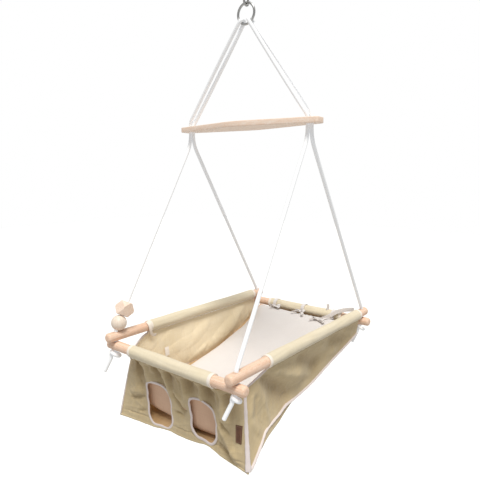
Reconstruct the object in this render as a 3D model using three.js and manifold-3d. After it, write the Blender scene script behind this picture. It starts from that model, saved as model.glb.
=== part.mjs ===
// Hanging baby cradle: a wedge-shaped cloth sling on four crossed dowels, hung by two
// looped ropes from a spreader bar, a steel ring and a screw hook.
// Millimetres, +Z up. The origin is on the ceiling face, above the hook. The leg-hole end
// of the cradle points to -Y, its shallow end to +Y.

import * as THREE from "three";
import { mergeVertices } from "three/addons/utils/BufferGeometryUtils.js";
import Module from "manifold-3d";

const wasm = await Module();
wasm.setup();

// Fits
const touch = 0.3; // gap kept between pieces that touch
const overrun = 2; // how far a cutter passes the faces it cuts

// Dowel frame
const cradleWidth = 400; // rope hole to rope hole, across
const cradleLength = 612; // rope hole to rope hole, front to back
const cradleShift = 26; // how far the frame's middle lies behind the hanging line
const dowelD = 25;
const dowelEndR = 7;
const dowelOverhang = 28;
const ropeHoleD = 12;

// Rope
const ropeD = 10;
const strandGap = 0.5; // between the two strands in the bar
const strandLead = 38; // straight run of a strand below the bar before it splits away
const strandBend = 26; // half of the length over which it bends away
const strandKink = 3; // half of the bend where a strand meets its dowel
const strandRise = 2; // height of that bend's corner above the dowel
const knotRopeD = 7.4; // the rope pulled tight in its knot
const knotInset = 3; // how far the knot's rope starts up the dowel's hole
const tailLength = 46;

// Hook
const hookReach = 52; // ceiling face to the wire's centre at the hook's bottom
const hookWireD = 6;
const hookBendR = 8.5;
const hookTipRise = 13;
const hookFlangeD = 26;
const hookFlangeT = 4;
const hookScrewLength = 30;
const hookScrewPoint = 7;

// Ring
const ringD = 58;
const ringWireD = 6;
const ringToBar = 245; // ring's lowest point to the bar's top face
const bightSlack = 0.5; // extra width of a rope's bight over the ring's wire

// Spreader bar
const barHoleSpan = 390;
const barOverhang = 30;
const barMidWidth = 115;
const barTipWidth = 32;
const barCornerR = 7;
const barMidR = 40;
const barT = 14;
const barEdge = 1.6;
const barSlotClear = 0.4;
const barPivotUp = 5; // height of the strands' pivot above the bar's underside
const barFlareRise = 4.4; // the slot's rounded lower lip
const barFlareOut = 2.2;
const barToFrame = 525; // bar's underside to the top of the long dowels

// Sleeves sewn round the dowels
const sleeveD = 31;
const sleeveHem = 3.5; // the stitched tail below a sleeve's tube
const sleeveHemT = 3;
const frontSleeveLength = 276;
const backSleeveLength = 330;
const sideSleeveFront = 106; // rope hole to the side sleeve's front end
const sideSleeveBack = 26;

// Sling panels
const clothT = 2.4;
const pipingD = 4.4;
const frontDrop = 205; // frame plane to the front wall's lower edge
const frontSetBack = 21; // that edge lies so far behind the front rope holes
const frontBottomWidth = 436;
const frontDrawIn = 14; // how far the front wall is drawn in at half height
const frontEdgeDraw = 18; // how far the middle of its lower edge is drawn back
const backDrop = 50;
const backSetIn = 14; // back corner seam to the back rope holes
const backWallTop = 2.5; // slack between the floor's end and the back dowel's middle
const floorBelly = 12;
const sideDrawIn = 9;
const cornerIn = 12; // where a corner seam starts, inward from its rope hole
const cornerBack = 44;
const cornerDown = 34;
const foldDepth = 5;
const foldWidth = 62;
const sideFoldDepth = 4;

// Leg holes
const legHoleWidth = 84;
const legHoleHeight = 100;
const legHoleR = 27;
const legHoleSpan = 150; // hole centre to hole centre
const legHoleDrop = 145; // frame plane to the holes' middle
const legTrimD = 4;

// Mattress pad
const padWidth = 336;
const padT = 27;
const padFrontGap = 28; // front wall's lower corners to the pad's turned-up end
const padTurnR = 34; // bend of the pad's middle where its front end turns up
const padTurnUp = 72; // straight run above that bend
const padLean = 10; // degrees by which that run leans on the front wall
const padBackGap = 22; // back rope holes to the pad's far edge
const padDrawIn = 6;
const padClear = 1;
const padLift = 24; // how far the far end climbs off the floor
const padLiftRun = 130;

// Ties that hold the pad to the back sleeve
const tieWidth = 12;
const tieT = 1.2;
const tieSpanShare = 2 / 3; // outer tie to outer tie, as a share of the back sleeve's length
const tieReach = 6;

// Label
const labelWidth = 18;
const labelHeight = 32;
const labelT = 1.4;
const labelGap = 3; // corner piping to the label
const labelDrop = 110; // frame plane to its upper edge

// Beads on the front left rope
const ballD = 40;
const facetBeadD = 41;
const facetCutShare = 0.71; // corner planes' distance, as a share of the bead's diagonal
const beadBoreD = 11.2;

// Shapes of the sling as shares: how far back, how wide, how deep the side seam runs
const seamRunShares = [0, 0.104, 0.228, 0.37, 0.556, 0.744, 0.938, 1];
const seamWidthShares = [1.09, 1.045, 0.975, 0.925, 0.9, 0.912, 0.95, 0.965];
const seamDropShares = [1, 0.69, 0.62, 0.56, 0.5, 0.31, 0.09, 0];

// Centreline of an overhand knot, as shares of its rope's diameter
const knotShares = { ring: 0.533, lobe: 1.279, swing: 1.193, rise: 1.046 };
const knotLeadShares = { side: 0.54, out: 1.78, near: 0.1, far: 1.0, top: 1.62 };
const knotOpenShare = 0.8;

// Levels
const zHook = -hookReach;
const ringR = (ringD - ringWireD) / 2;
const zRingTop = zHook + (hookWireD + ringWireD) / 2 + touch;
const zRing = zRingTop - ringR;
const zBarTop = zRing - ringD / 2 - ringToBar;
const zBarUnder = zBarTop - barT;
const zPivot = zBarUnder + barPivotUp;
const zDowelTop = zBarUnder - barToFrame;
const zFrame = zDowelTop - dowelD - touch / 2;

// Places in the cradle, whose own origin is the middle of the frame plane
const dowelR = dowelD / 2;
const xHole = cradleWidth / 2;
const yHole = cradleLength / 2;
const zDowel = dowelR + touch / 2;
const sleeveBoreR = dowelR + touch;
const hemReach = sleeveD / 2 + sleeveHem + touch;
const zSideTop = zDowel - hemReach;
const zEndTop = -zDowel - hemReach;
const yFrontEdge = -yHole + frontSetBack;
const yBackEdge = yHole - backSetIn;
const xCorner = xHole - cornerIn;
const yCorner = -yHole + cornerBack;
const pipeInset = pipingD / 2 + touch;
const pipeReach = pipeInset + clothT; // where a sheet ends that meets its piping at a slant
const strandSpacing = ropeD + strandGap;

const V = (x, y, z) => new THREE.Vector3(x, y, z);
const mix = (a, b, s) => a + (b - a) * s;
const clamp01 = (s) => Math.min(1, Math.max(0, s));

// Materials
function finish(color, roughness, metalness = 0) {
  return () => new THREE.MeshStandardMaterial({ color, roughness, metalness });
}
const beech = finish(0xefcdb4, 0.55);
const paleBeech = finish(0xf3e3d0, 0.5);
const cottonRope = finish(0xf2f1ee, 0.9);
const linen = finish(0xcdbd96, 0.95);
const bindingTape = finish(0xdccfcc, 0.85);
const padCotton = finish(0xeae3de, 0.95);
const leather = finish(0x5a3a2a, 0.6);
const steel = finish(0xa8a8a8, 0.3, 1);

// Geometry from points and triangles, with the faces turned outwards
function closedGeometry(points, triangles) {
  let volume = 0;
  for (const [a, b, c] of triangles) {
    volume += points[a].dot(V().crossVectors(points[b], points[c]));
  }
  const index = triangles.flatMap(([a, b, c]) => (volume < 0 ? [a, c, b] : [a, b, c]));
  const geometry = new THREE.BufferGeometry().setFromPoints(points);
  geometry.setIndex(index);
  return geometry;
}

// A skin over rings of equally many points, closed by caps or into a loop
function skin(rings, looped = false) {
  const n = rings[0].length;
  const m = rings.length;
  const points = rings.flat();
  const triangles = [];
  for (let i = 0; i < (looped ? m : m - 1); i++) {
    for (let j = 0; j < n; j++) {
      const next = (j + 1) % n;
      const above = ((i + 1) % m) * n;
      triangles.push([i * n + j, i * n + next, above + j]);
      triangles.push([i * n + next, above + next, above + j]);
    }
  }
  if (!looped) {
    for (const base of [0, (m - 1) * n]) {
      const centre = V(0, 0, 0);
      for (let j = 0; j < n; j++) centre.addScaledVector(points[base + j], 1 / n);
      points.push(centre);
      for (let j = 0; j < n; j++) {
        const pair = [base + j, base + ((j + 1) % n)];
        if (base === 0) pair.reverse();
        triangles.push([points.length - 1, ...pair]);
      }
    }
  }
  return closedGeometry(points, triangles);
}

// Two grids of points over one field of cells, joined all round: by walls, or at a shared rim
function shell(upper, lower, nu, nv, sharedRim = false) {
  const at = (i, j) => i * (nv + 1) + j;
  const count = (nu + 1) * (nv + 1);
  const onRim = (i, j) => i === 0 || j === 0 || i === nu || j === nv;
  const points = [];
  for (const grid of [upper, lower]) {
    for (let i = 0; i <= nu; i++) {
      for (let j = 0; j <= nv; j++) points.push(grid(i / nu, j / nv));
    }
  }
  const below = (i, j) => (sharedRim && onRim(i, j) ? at(i, j) : count + at(i, j));
  const triangles = [];
  for (let i = 0; i < nu; i++) {
    for (let j = 0; j < nv; j++) {
      triangles.push([at(i, j), at(i + 1, j), at(i + 1, j + 1)]);
      triangles.push([at(i, j), at(i + 1, j + 1), at(i, j + 1)]);
      triangles.push([below(i, j), below(i + 1, j + 1), below(i + 1, j)]);
      triangles.push([below(i, j), below(i, j + 1), below(i + 1, j + 1)]);
    }
  }
  const wall = (a, b, c, d) => triangles.push([a, c, b], [b, c, d]);
  if (!sharedRim) {
    for (let i = 0; i < nu; i++) {
      wall(at(i, 0), at(i + 1, 0), below(i, 0), below(i + 1, 0));
      wall(at(i + 1, nv), at(i, nv), below(i + 1, nv), below(i, nv));
    }
    for (let j = 0; j < nv; j++) {
      wall(at(0, j + 1), at(0, j), below(0, j + 1), below(0, j));
      wall(at(nu, j), at(nu, j + 1), below(nu, j), below(nu, j + 1));
    }
  }
  return closedGeometry(points, triangles);
}

// Cloth of one thickness on a surface of two shares
function clothSheet(surface, nu, nv, thickness = clothT, offset = 0) {
  const stepShare = 0.002;
  const normal = (u, v) => {
    const du = surface(u + stepShare, v).sub(surface(u - stepShare, v));
    const dv = surface(u, v + stepShare).sub(surface(u, v - stepShare));
    return du.cross(dv).normalize();
  };
  const side = (sign) => (u, v) =>
    surface(u, v).addScaledVector(normal(u, v), offset + (sign * thickness) / 2);
  return shell(side(1), side(-1), nu, nv);
}

// A route whose given points are also the places of a tube's sections
class Route extends THREE.CatmullRomCurve3 {
  constructor(points) {
    super(points, false, "centripetal");
  }

  getUtoTmapping(u) {
    return u;
  }
}

function tube(points, diameter, sides, stepsEach = 1) {
  const section = [];
  for (let i = 0; i < sides; i++) {
    const turn = ((i + 0.5) / sides) * 2 * Math.PI;
    section.push(new THREE.Vector2(Math.cos(turn), Math.sin(turn)).multiplyScalar(diameter / 2));
  }
  return new THREE.ExtrudeGeometry(new THREE.Shape(section), {
    steps: (points.length - 1) * stepsEach,
    bevelEnabled: false,
    extrudePath: new Route(points),
  });
}

// Points of a bend that leaves one line for another at a corner
function bend(before, corner, after, reach, count) {
  const from = corner.clone().addScaledVector(before.clone().sub(corner).normalize(), reach);
  const to = corner.clone().addScaledVector(after.clone().sub(corner).normalize(), reach);
  return new THREE.QuadraticBezierCurve3(from, corner, to).getPoints(count);
}

// Cuts and joins
function solidOf(geometry) {
  const bare = geometry.clone();
  bare.deleteAttribute("normal");
  bare.deleteAttribute("uv");
  const merged = mergeVertices(bare);
  return new wasm.Manifold(
    new wasm.Mesh({
      numProp: 3,
      vertProperties: merged.attributes.position.array,
      triVerts: new Uint32Array(merged.index.array),
    }),
  );
}

function geometryOf(solid) {
  const mesh = solid.getMesh();
  const geometry = new THREE.BufferGeometry();
  geometry.setAttribute("position", new THREE.BufferAttribute(mesh.vertProperties, 3));
  geometry.setIndex(new THREE.BufferAttribute(mesh.triVerts, 1));
  return geometry;
}

function cut(geometry, ...tools) {
  return geometryOf(tools.reduce((body, tool) => body.subtract(solidOf(tool)), solidOf(geometry)));
}

function join(geometry, ...others) {
  return geometryOf(others.reduce((body, other) => body.add(solidOf(other)), solidOf(geometry)));
}

function common(geometry, ...others) {
  return geometryOf(
    others.reduce((body, other) => body.intersect(solidOf(other)), solidOf(geometry)),
  );
}

const root = new THREE.Group();
const cradle = new THREE.Group();
cradle.position.set(0, cradleShift, zFrame);
root.add(cradle);

function piece(group, name, geometry, material) {
  geometry.computeVertexNormals();
  const mesh = new THREE.Mesh(geometry, material());
  mesh.name = name;
  group.add(mesh);
}

// Screw hook: pointed screw and flange turned in one, wire bent out, round and up again
function ceilingHook() {
  const wireR = hookWireD / 2;
  const turned = new THREE.LatheGeometry(
    [
      new THREE.Vector2(0, hookScrewLength),
      new THREE.Vector2(wireR, hookScrewLength - hookScrewPoint),
      new THREE.Vector2(wireR, 0),
      new THREE.Vector2(hookFlangeD / 2, 0),
      new THREE.Vector2(hookFlangeD / 2, -hookFlangeT / 2),
      new THREE.Vector2(hookFlangeD / 2 - hookFlangeT / 2, -hookFlangeT),
      new THREE.Vector2(0, -hookFlangeT),
    ].reverse(),
    20,
  ).rotateX(Math.PI / 2);
  const points = [V(0, 0, -hookFlangeT / 2), V(0, 0, -hookFlangeT - hookWireD)];
  const zCentre = zHook + hookBendR;
  points.push(V(0, hookBendR / 2, mix(-hookFlangeT - hookWireD, zCentre, 0.45)));
  for (let i = 0; i <= 8; i++) {
    const turn = -(i / 8) * Math.PI;
    points.push(V(0, hookBendR * Math.cos(turn), zCentre + hookBendR * Math.sin(turn)));
  }
  points.push(V(0, -hookBendR - touch, zCentre + hookTipRise / 2));
  points.push(V(0, -hookBendR - hookWireD / 2, zCentre + hookTipRise));
  const tip = new THREE.SphereGeometry(wireR, 10, 6).translate(...points.at(-1).toArray());
  return join(turned, tube(points, hookWireD, 10), tip);
}

function hangingRing() {
  return new THREE.TorusGeometry(ringR, ringWireD / 2, 8, 32)
    .rotateX(Math.PI / 2)
    .translate(0, 0, zRing);
}

// Where a rope crosses the ring's wire, on the line from the bar's slot to the ring's middle
function ringCrossing(side) {
  const slot = V((side * barHoleSpan) / 2, 0, zBarTop);
  const outward = slot.sub(V(0, 0, zRing)).normalize();
  return { outward, wire: V(0, 0, zRing).addScaledVector(outward, ringR) };
}

// One rope's upper half: up from the bar's slot, over the ring's wire and down again.
// Its two strands lie side by side along X in the slot and along Y at the ring.
function bridleRope(side) {
  const { outward, wire } = ringCrossing(side);
  const inward = outward.clone().negate();
  const bightR = (ringWireD + ropeD) / 2 + touch + bightSlack;
  const bightCentre = wire.clone().addScaledVector(outward, bightSlack);
  const xSlot = (side * barHoleSpan) / 2;
  const start = V(xSlot, 0, zPivot + ropeD / 2 + touch);
  const corner = V(xSlot, 0, zBarTop + strandBend);
  const middle = [start, ...bend(start, corner, bightCentre, strandBend, 4)];
  const runs = 6;
  const bent = middle.at(-1).clone();
  for (let i = 1; i < runs; i++) middle.push(bent.clone().lerp(bightCentre, i / runs));
  const strand = (sign) =>
    middle.map((point, i) => {
      const share = clamp01((i - 2) / (middle.length - 2));
      const turn = (share * Math.PI) / 2;
      const next = middle[Math.min(i + 1, middle.length - 1)];
      const before = middle[Math.max(i - 1, 0)];
      const along = next.clone().sub(before).normalize();
      const across = V(along.z, 0, -along.x);
      const reach = sign * mix(strandSpacing / 2, bightR, share);
      return point
        .clone()
        .addScaledVector(across, reach * Math.cos(turn))
        .addScaledVector(V(0, 1, 0), reach * Math.sin(turn));
    });
  const bight = [];
  for (let i = 0; i <= 8; i++) {
    const turn = (i / 8) * Math.PI;
    bight.push(
      bightCentre
        .clone()
        .addScaledVector(V(0, 1, 0), bightR * Math.cos(turn))
        .addScaledVector(inward, bightR * Math.sin(turn)),
    );
  }
  return tube([...strand(1), ...bight, ...strand(-1).reverse()], ropeD, 8);
}

// Outline of the bar from above: widest at its middle, straight to blunt rounded ends
function barOutline() {
  const xEnd = barHoleSpan / 2 + barOverhang;
  const slope = (barMidWidth - barTipWidth) / 2 / xEnd;
  const outline = new THREE.Shape();
  const quarter = (sx, sy, flip) => {
    const tip = new THREE.Vector2(sx * xEnd, (sy * barTipWidth) / 2);
    const onSide = new THREE.Vector2(
      sx * (xEnd - barCornerR),
      sy * (barTipWidth / 2 + slope * barCornerR),
    );
    const onEnd = new THREE.Vector2(sx * xEnd, sy * (barTipWidth / 2 - barCornerR));
    const nearMid = new THREE.Vector2(sx * barMidR, sy * (barMidWidth / 2 - slope * barMidR));
    return flip ? [onEnd, tip, onSide, nearMid] : [nearMid, onSide, tip, onEnd];
  };
  const mid = (sy) => new THREE.Vector2(0, (sy * barMidWidth) / 2);
  const corner = ([a, b, c, d], toMid) => {
    if (toMid) {
      outline.lineTo(a.x, a.y);
      outline.quadraticCurveTo(b.x, b.y, c.x, c.y);
      outline.lineTo(d.x, d.y);
      outline.quadraticCurveTo(0, toMid.y, -d.x, d.y);
    } else {
      outline.lineTo(b.x, b.y);
      outline.quadraticCurveTo(c.x, c.y, d.x, d.y);
    }
  };
  const start = quarter(1, -1, false)[0];
  outline.moveTo(start.x, start.y);
  corner(quarter(1, -1, false));
  corner(quarter(1, 1, true), mid(1));
  corner(quarter(-1, 1, false));
  corner(quarter(-1, -1, true), mid(-1));
  return outline;
}

// An obround along X, as points at one height
function obround(length, width, z, x) {
  const r = width / 2;
  const reach = (length - width) / 2;
  const ring = [];
  for (let i = 0; i <= 8; i++) {
    const turn = -Math.PI / 2 + (i / 8) * Math.PI;
    ring.push(V(x + reach + r * Math.cos(turn), r * Math.sin(turn), z));
  }
  for (let i = 0; i <= 8; i++) {
    const turn = Math.PI / 2 + (i / 8) * Math.PI;
    ring.push(V(x - reach + r * Math.cos(turn), r * Math.sin(turn), z));
  }
  return ring;
}

// Slot for the two strands, flared at the underside so that they can swing
function barSlot(x) {
  const width = ropeD + 2 * barSlotClear;
  const length = width + strandSpacing;
  const flared = 2 * barFlareOut;
  return skin([
    obround(length + 2 * flared, width + 2 * flared, zBarUnder - barFlareRise, x),
    obround(length, width, zBarUnder + barFlareRise, x),
    obround(length, width, zBarTop + overrun, x),
  ]);
}

function spreaderBar() {
  const board = new THREE.ExtrudeGeometry(barOutline(), {
    depth: barT - 2 * barEdge,
    bevelThickness: barEdge,
    bevelSize: barEdge,
    bevelOffset: -barEdge,
    bevelSegments: 2,
    curveSegments: 4,
  }).translate(0, 0, zBarUnder + barEdge);
  return cut(board, barSlot(-barHoleSpan / 2), barSlot(barHoleSpan / 2));
}

// One rope's lower strand: from its rounded pivot end in the bar down through both dowels
function cornerPlace(side, end) {
  return V(side * xHole, cradleShift + end * yHole, zDowelTop);
}

function strandFoot(side, end) {
  return cornerPlace(side, end).add(V(0, 0, strandRise));
}

function strandStart(side, end) {
  return V((side * barHoleSpan) / 2 + (end * strandSpacing) / 2, 0, zPivot);
}

function strandTurn(side, end) {
  return strandStart(side, end).add(V(0, 0, -strandLead));
}

function lowerRope(side, end) {
  const top = strandStart(side, end);
  const turn = strandTurn(side, end);
  const foot = strandFoot(side, end);
  const bottom = V(foot.x, foot.y, zFrame - touch / 2 - dowelD + knotInset);
  const points = [
    top,
    ...bend(top, turn, foot, strandBend, 5),
    ...bend(turn, foot, bottom, strandKink, 3),
    bottom,
  ];
  const cap = new THREE.SphereGeometry(ropeD / 2, 12, 8).translate(...top.toArray());
  return join(tube(points, ropeD, 10), cap);
}

// Overhand knot under a corner, with its free tail. The trefoil's two ends are led off
// upwards into the hole and downwards into the tail.
function endKnot(side, end, turnDegrees) {
  const d = knotRopeD;
  const { ring, lobe, swing, rise } = knotShares;
  const { side: aside, out, near, far, top } = knotLeadShares;
  const half = knotOpenShare * Math.PI;
  const loops = [];
  const count = 22;
  for (let i = 0; i <= count; i++) {
    const t = mix(-half, half, i / count);
    loops.push(
      V(
        ring * Math.sin(t) + swing * Math.sin(2 * t),
        ring * Math.cos(t) - lobe * Math.cos(2 * t),
        rise * Math.sin(3 * t),
      ).multiplyScalar(d),
    );
  }
  const zTop = top * d + knotInset - touch;
  const lead = [
    V(aside * d, -out * d, zTop),
    V(aside * d, -out * d, far * d),
    V(aside * d, -out * d, near * d),
  ];
  const tailDrop = tailLength / 4;
  const tail = [
    V(-aside * d, -out * d, -near * d),
    V(-aside * d, -out * d, -far * d),
    V(-aside * d - tailDrop / 4, -out * d, -far * d - tailDrop),
    V(-aside * d - tailDrop, -out * d, -far * d - 2.4 * tailDrop),
    V(-aside * d - 2 * tailDrop, -out * d, -far * d - 4 * tailDrop),
  ];
  const hole = cornerPlace(side, end);
  const zCentre = zFrame - touch / 2 - dowelD - top * d;
  return tube([...lead, ...loops, ...tail], d, 7)
    .translate(-aside * d, out * d, 0)
    .rotateZ(THREE.MathUtils.degToRad(turnDegrees))
    .translate(hole.x, hole.y, zCentre);
}

// Beads threaded on the front left strand
function beadPlace(height) {
  const foot = strandFoot(-1, -1);
  const up = strandTurn(-1, -1).sub(foot).normalize();
  return { up, centre: foot.clone().addScaledVector(up, (height - strandRise) / up.z) };
}

const ballHeight = ballD / 2 + touch;
const beadStep = (ballD + facetBeadD) / 2 + touch;

function threadOn(bead, reach, along) {
  const upright = new THREE.Quaternion().setFromUnitVectors(V(0, 0, 1), along.up);
  const bore = new THREE.CylinderGeometry(beadBoreD / 2, beadBoreD / 2, reach, 16);
  return cut(bead, bore.rotateX(Math.PI / 2))
    .applyQuaternion(upright)
    .translate(...along.centre.toArray());
}

function roundBead() {
  const ball = new THREE.SphereGeometry(ballD / 2, 18, 10).rotateX(Math.PI / 2);
  return threadOn(ball, ballD + 2 * overrun, beadPlace(ballHeight));
}

function facetedBead() {
  const cube = new THREE.BoxGeometry(facetBeadD, facetBeadD, facetBeadD);
  const corners = new THREE.OctahedronGeometry(facetCutShare * 1.5 * facetBeadD);
  const along = beadPlace(ballHeight);
  along.centre.addScaledVector(along.up, beadStep);
  return threadOn(common(cube, corners), facetBeadD + 2 * overrun, along);
}

// A dowel with rounded ends, along X, with its two rope holes
function dowel(span) {
  const half = span / 2 + dowelOverhang;
  const profile = new THREE.Path();
  profile.moveTo(0, -half);
  profile.lineTo(dowelR - dowelEndR, -half);
  profile.absarc(dowelR - dowelEndR, -half + dowelEndR, dowelEndR, -Math.PI / 2, 0);
  profile.lineTo(dowelR, half - dowelEndR);
  profile.absarc(dowelR - dowelEndR, half - dowelEndR, dowelEndR, 0, Math.PI / 2);
  profile.lineTo(0, half);
  const rod = new THREE.LatheGeometry(profile.getPoints(2), 20).rotateZ(-Math.PI / 2);
  const hole = (x) =>
    new THREE.CylinderGeometry(ropeHoleD / 2, ropeHoleD / 2, dowelD + 2 * overrun, 12)
      .rotateX(Math.PI / 2)
      .translate(x, 0, 0);
  return cut(rod, hole(-span / 2), hole(span / 2));
}

// A cloth tube round a dowel, along Y, with its stitched hem hanging below
function sleeve(length) {
  const r = sleeveD / 2;
  const hemAngle = Math.asin(sleeveHemT / 2 / r);
  const outline = new THREE.Shape();
  outline.moveTo(sleeveHemT / 2, -r - sleeveHem);
  outline.absarc(0, 0, r, -Math.PI / 2 + hemAngle, 1.5 * Math.PI - hemAngle);
  outline.lineTo(-sleeveHemT / 2, -r - sleeveHem);
  outline.closePath();
  const bore = new THREE.Path();
  bore.absarc(0, 0, sleeveBoreR, 0, 2 * Math.PI, true);
  outline.holes.push(bore);
  return new THREE.ExtrudeGeometry(outline, {
    depth: length,
    bevelEnabled: false,
    curveSegments: 16,
  })
    .translate(0, 0, -length / 2)
    .rotateX(Math.PI / 2);
}

// The side seam, where a side panel meets the floor, from the front corner (0) to the back (1)
const seamLine = new THREE.CatmullRomCurve3(
  seamRunShares.map((run, i) =>
    V(
      i === 0 ? frontBottomWidth / 2 : seamWidthShares[i] * xHole,
      mix(yFrontEdge, yBackEdge, run),
      -mix(backDrop, frontDrop, seamDropShares[i]),
    ),
  ),
  false,
  "centripetal",
);

function sideSeam(run) {
  const y = mix(yFrontEdge, yBackEdge, clamp01(run));
  let [low, high] = [0, 1];
  for (let i = 0; i < 24; i++) {
    const half = (low + high) / 2;
    if (seamLine.getPoint(half).y < y) low = half;
    else high = half;
  }
  return seamLine.getPoint((low + high) / 2);
}

// A corner seam, from the cut-away at the frame (0) down to the lower corner (1)
function cornerSeam(share) {
  const top = V(xCorner, yCorner, -cornerDown);
  return top.lerp(sideSeam(0), share);
}

// The front wall's lower edge, across from -1 to 1
function frontEdge(across) {
  const y = yFrontEdge + frontEdgeDraw * (1 - across ** 2);
  return V((across * frontBottomWidth) / 2, y, -frontDrop);
}

// Front wall's surface: across from -1 to 1, down from 0 to 1
function frontSurface(across, down) {
  const reach = Math.abs(across) * xCorner;
  const half = frontSleeveLength / 2;
  const away = Math.max(0, (reach - half) / (xCorner - half));
  const top = V(
    across * xCorner,
    -yHole + cornerBack * away ** 1.6,
    mix(zEndTop, -cornerDown, away),
  );
  const point = top.lerp(frontEdge(across), down);
  const inner = 1 - across ** 4;
  const fold = Math.sin((point.x / foldWidth) * 2 * Math.PI + 1.3) * Math.exp(-3 * down);
  const hang = Math.sin(Math.PI * Math.min(1, Math.max(0, down)));
  point.y += (frontDrawIn * hang + foldDepth * fold * hang ** 0.5) * inner;
  return point;
}

// Side wall's surface on the +X side: along from 0 at the front to 1, down from 0 to 1
function sideSurface(along, down) {
  const y = mix(yCorner, yBackEdge, along);
  const sleeveStart = -yHole + sideSleeveFront;
  const away = clamp01((sleeveStart - y) / (sleeveStart - yCorner));
  const top = V(xHole - cornerIn * away ** 2, y, mix(zSideTop, -cornerDown, away ** 1.4));
  const point = top.lerp(sideSeam(along), down);
  const hang = Math.sin(Math.PI * clamp01(down)) * (1 - (2 * along - 1) ** 4);
  const fold = Math.sin(2 * Math.PI * (2.2 * along + 0.7 * down));
  point.x -= sideDrawIn * hang - sideFoldDepth * fold * hang;
  return point;
}

// Floor's surface: across from -1 to 1, back from 0 to 1 along the seam
function floorSurface(across, back) {
  const edge = sideSeam(back);
  const run = (edge.y - yFrontEdge) / (yBackEdge - yFrontEdge);
  const middle = -mix(frontDrop, backDrop, run) - floorBelly * Math.sin(Math.PI * clamp01(run));
  const draw = frontEdgeDraw * (1 - across ** 2) * (1 - clamp01(run)) ** 4;
  return V(across * edge.x, edge.y + draw, mix(middle, edge.z, across ** 4));
}

// Height of the floor at a place seen from above
function floorHeight(x, y) {
  const length = yBackEdge - yFrontEdge;
  let back = clamp01((y - yFrontEdge) / length);
  let point = floorSurface(0, back);
  for (let i = 0; i < 6; i++) {
    point = floorSurface(clamp01(Math.abs(x) / sideSeam(back).x), back);
    back = clamp01(back + (y - point.y) / length);
  }
  return point.z;
}

// Past the seam's end the floor turns up to the back sleeve's hem
function floorOrBackWall(across, back) {
  const turnShare = 0.94;
  if (back <= turnShare) return floorSurface(across, back / turnShare);
  const edge = floorSurface(across, 1);
  const hem = V((across * backSleeveLength) / 2, yHole - backWallTop, zEndTop);
  return edge.lerp(hem, (back - turnShare) / (1 - turnShare));
}

const mirrorX = (surface) => (u, v) => surface(u, v).multiply(V(-1, 1, 1));
const sideOf = (surface, side) => (side < 0 ? mirrorX(surface) : surface);

function frontPanel() {
  const insetU = pipeReach / xCorner;
  const insetV = pipeReach / frontDrop;
  const panel = clothSheet(
    (u, v) => frontSurface(mix(-1 + insetU, 1 - insetU, u), mix(0, 1 - insetV, v)),
    28,
    14,
  );
  const grow = legTrimD / 2 + touch;
  return cut(panel, legHoleCutter(-1, grow), legHoleCutter(1, grow));
}

// Outline of a leg hole seen from the front, grown all round
function legHoleShape(side, grow) {
  const w = legHoleWidth / 2 + grow;
  const h = legHoleHeight / 2 + grow;
  const r = legHoleR + grow;
  const x = (side * legHoleSpan) / 2;
  const z = -legHoleDrop;
  const outline = new THREE.Shape();
  outline.absarc(x + w - r, z - h + r, r, -Math.PI / 2, 0);
  outline.absarc(x + w - r, z + h - r, r, 0, Math.PI / 2);
  outline.absarc(x - w + r, z + h - r, r, Math.PI / 2, Math.PI);
  outline.absarc(x - w + r, z - h + r, r, Math.PI, 1.5 * Math.PI);
  return outline;
}

function legHoleCutter(side, grow) {
  return new THREE.ExtrudeGeometry(legHoleShape(side, grow), {
    depth: cornerBack + frontDrawIn + 2 * foldDepth + 2 * overrun,
    bevelEnabled: false,
    curveSegments: 6,
  })
    .rotateX(Math.PI / 2)
    .translate(0, -yHole + cornerBack + frontDrawIn + overrun + foldDepth, 0);
}

// The point of the front wall that lies behind a place seen from the front
function onFront(x, z) {
  let across = x / xCorner;
  let down = -z / frontDrop;
  for (let i = 0; i < 12; i++) {
    const point = frontSurface(across, down);
    across += (x - point.x) / xCorner;
    down -= (z - point.z) / frontDrop;
  }
  return frontSurface(across, down);
}

// Binding round a leg hole, following the wall
function legTrim(side) {
  const outline = legHoleShape(side, 0).getSpacedPoints(32);
  const centres = outline.filter((p, i) => i > 0).map((p) => onFront(p.x, p.y));
  const n = centres.length;
  const rings = centres.map((centre, i) => {
    const along = centres[(i + 1) % n].clone().sub(centres[(i + n - 1) % n]).normalize();
    const across = V(0, 1, 0).cross(along).normalize();
    const out = along.clone().cross(across);
    const ring = [];
    for (let k = 0; k < 6; k++) {
      const turn = ((k + 0.5) / 6) * 2 * Math.PI;
      ring.push(
        centre
          .clone()
          .addScaledVector(across, (legTrimD / 2) * Math.cos(turn))
          .addScaledVector(out, (legTrimD / 2) * Math.sin(turn)),
      );
    }
    return ring;
  });
  return skin(rings, true);
}

function sidePanel(side) {
  const insetU = pipeReach / (cradleLength - cornerBack);
  const insetV = (along) => pipeReach / mix(frontDrop, backDrop, along ** 0.5);
  return clothSheet(
    sideOf((u, v) => {
      const along = mix(insetU, 1 - insetU, u);
      return sideSurface(along, v * (1 - insetV(along)));
    }, side),
    24,
    10,
  );
}

function floorPanel() {
  const insetU = pipeReach / (seamWidthShares[4] * xHole);
  const insetV = pipeReach / cradleLength;
  return clothSheet(
    (u, v) => floorOrBackWall(mix(-1 + insetU, 1 - insetU, u), mix(insetV, 1, v)),
    20,
    18,
  );
}

function cornerPiping(side) {
  const seamLength = cornerSeam(0).distanceTo(cornerSeam(1));
  const lastShare = 1 - (pipingD / 2 + 1.5 * touch) / seamLength;
  const points = [];
  for (let i = 0; i <= 8; i++) points.push(cornerSeam((i / 8) * lastShare));
  return tube(points.map((p) => p.multiply(V(side, 1, 1))), pipingD, 6);
}

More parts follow.
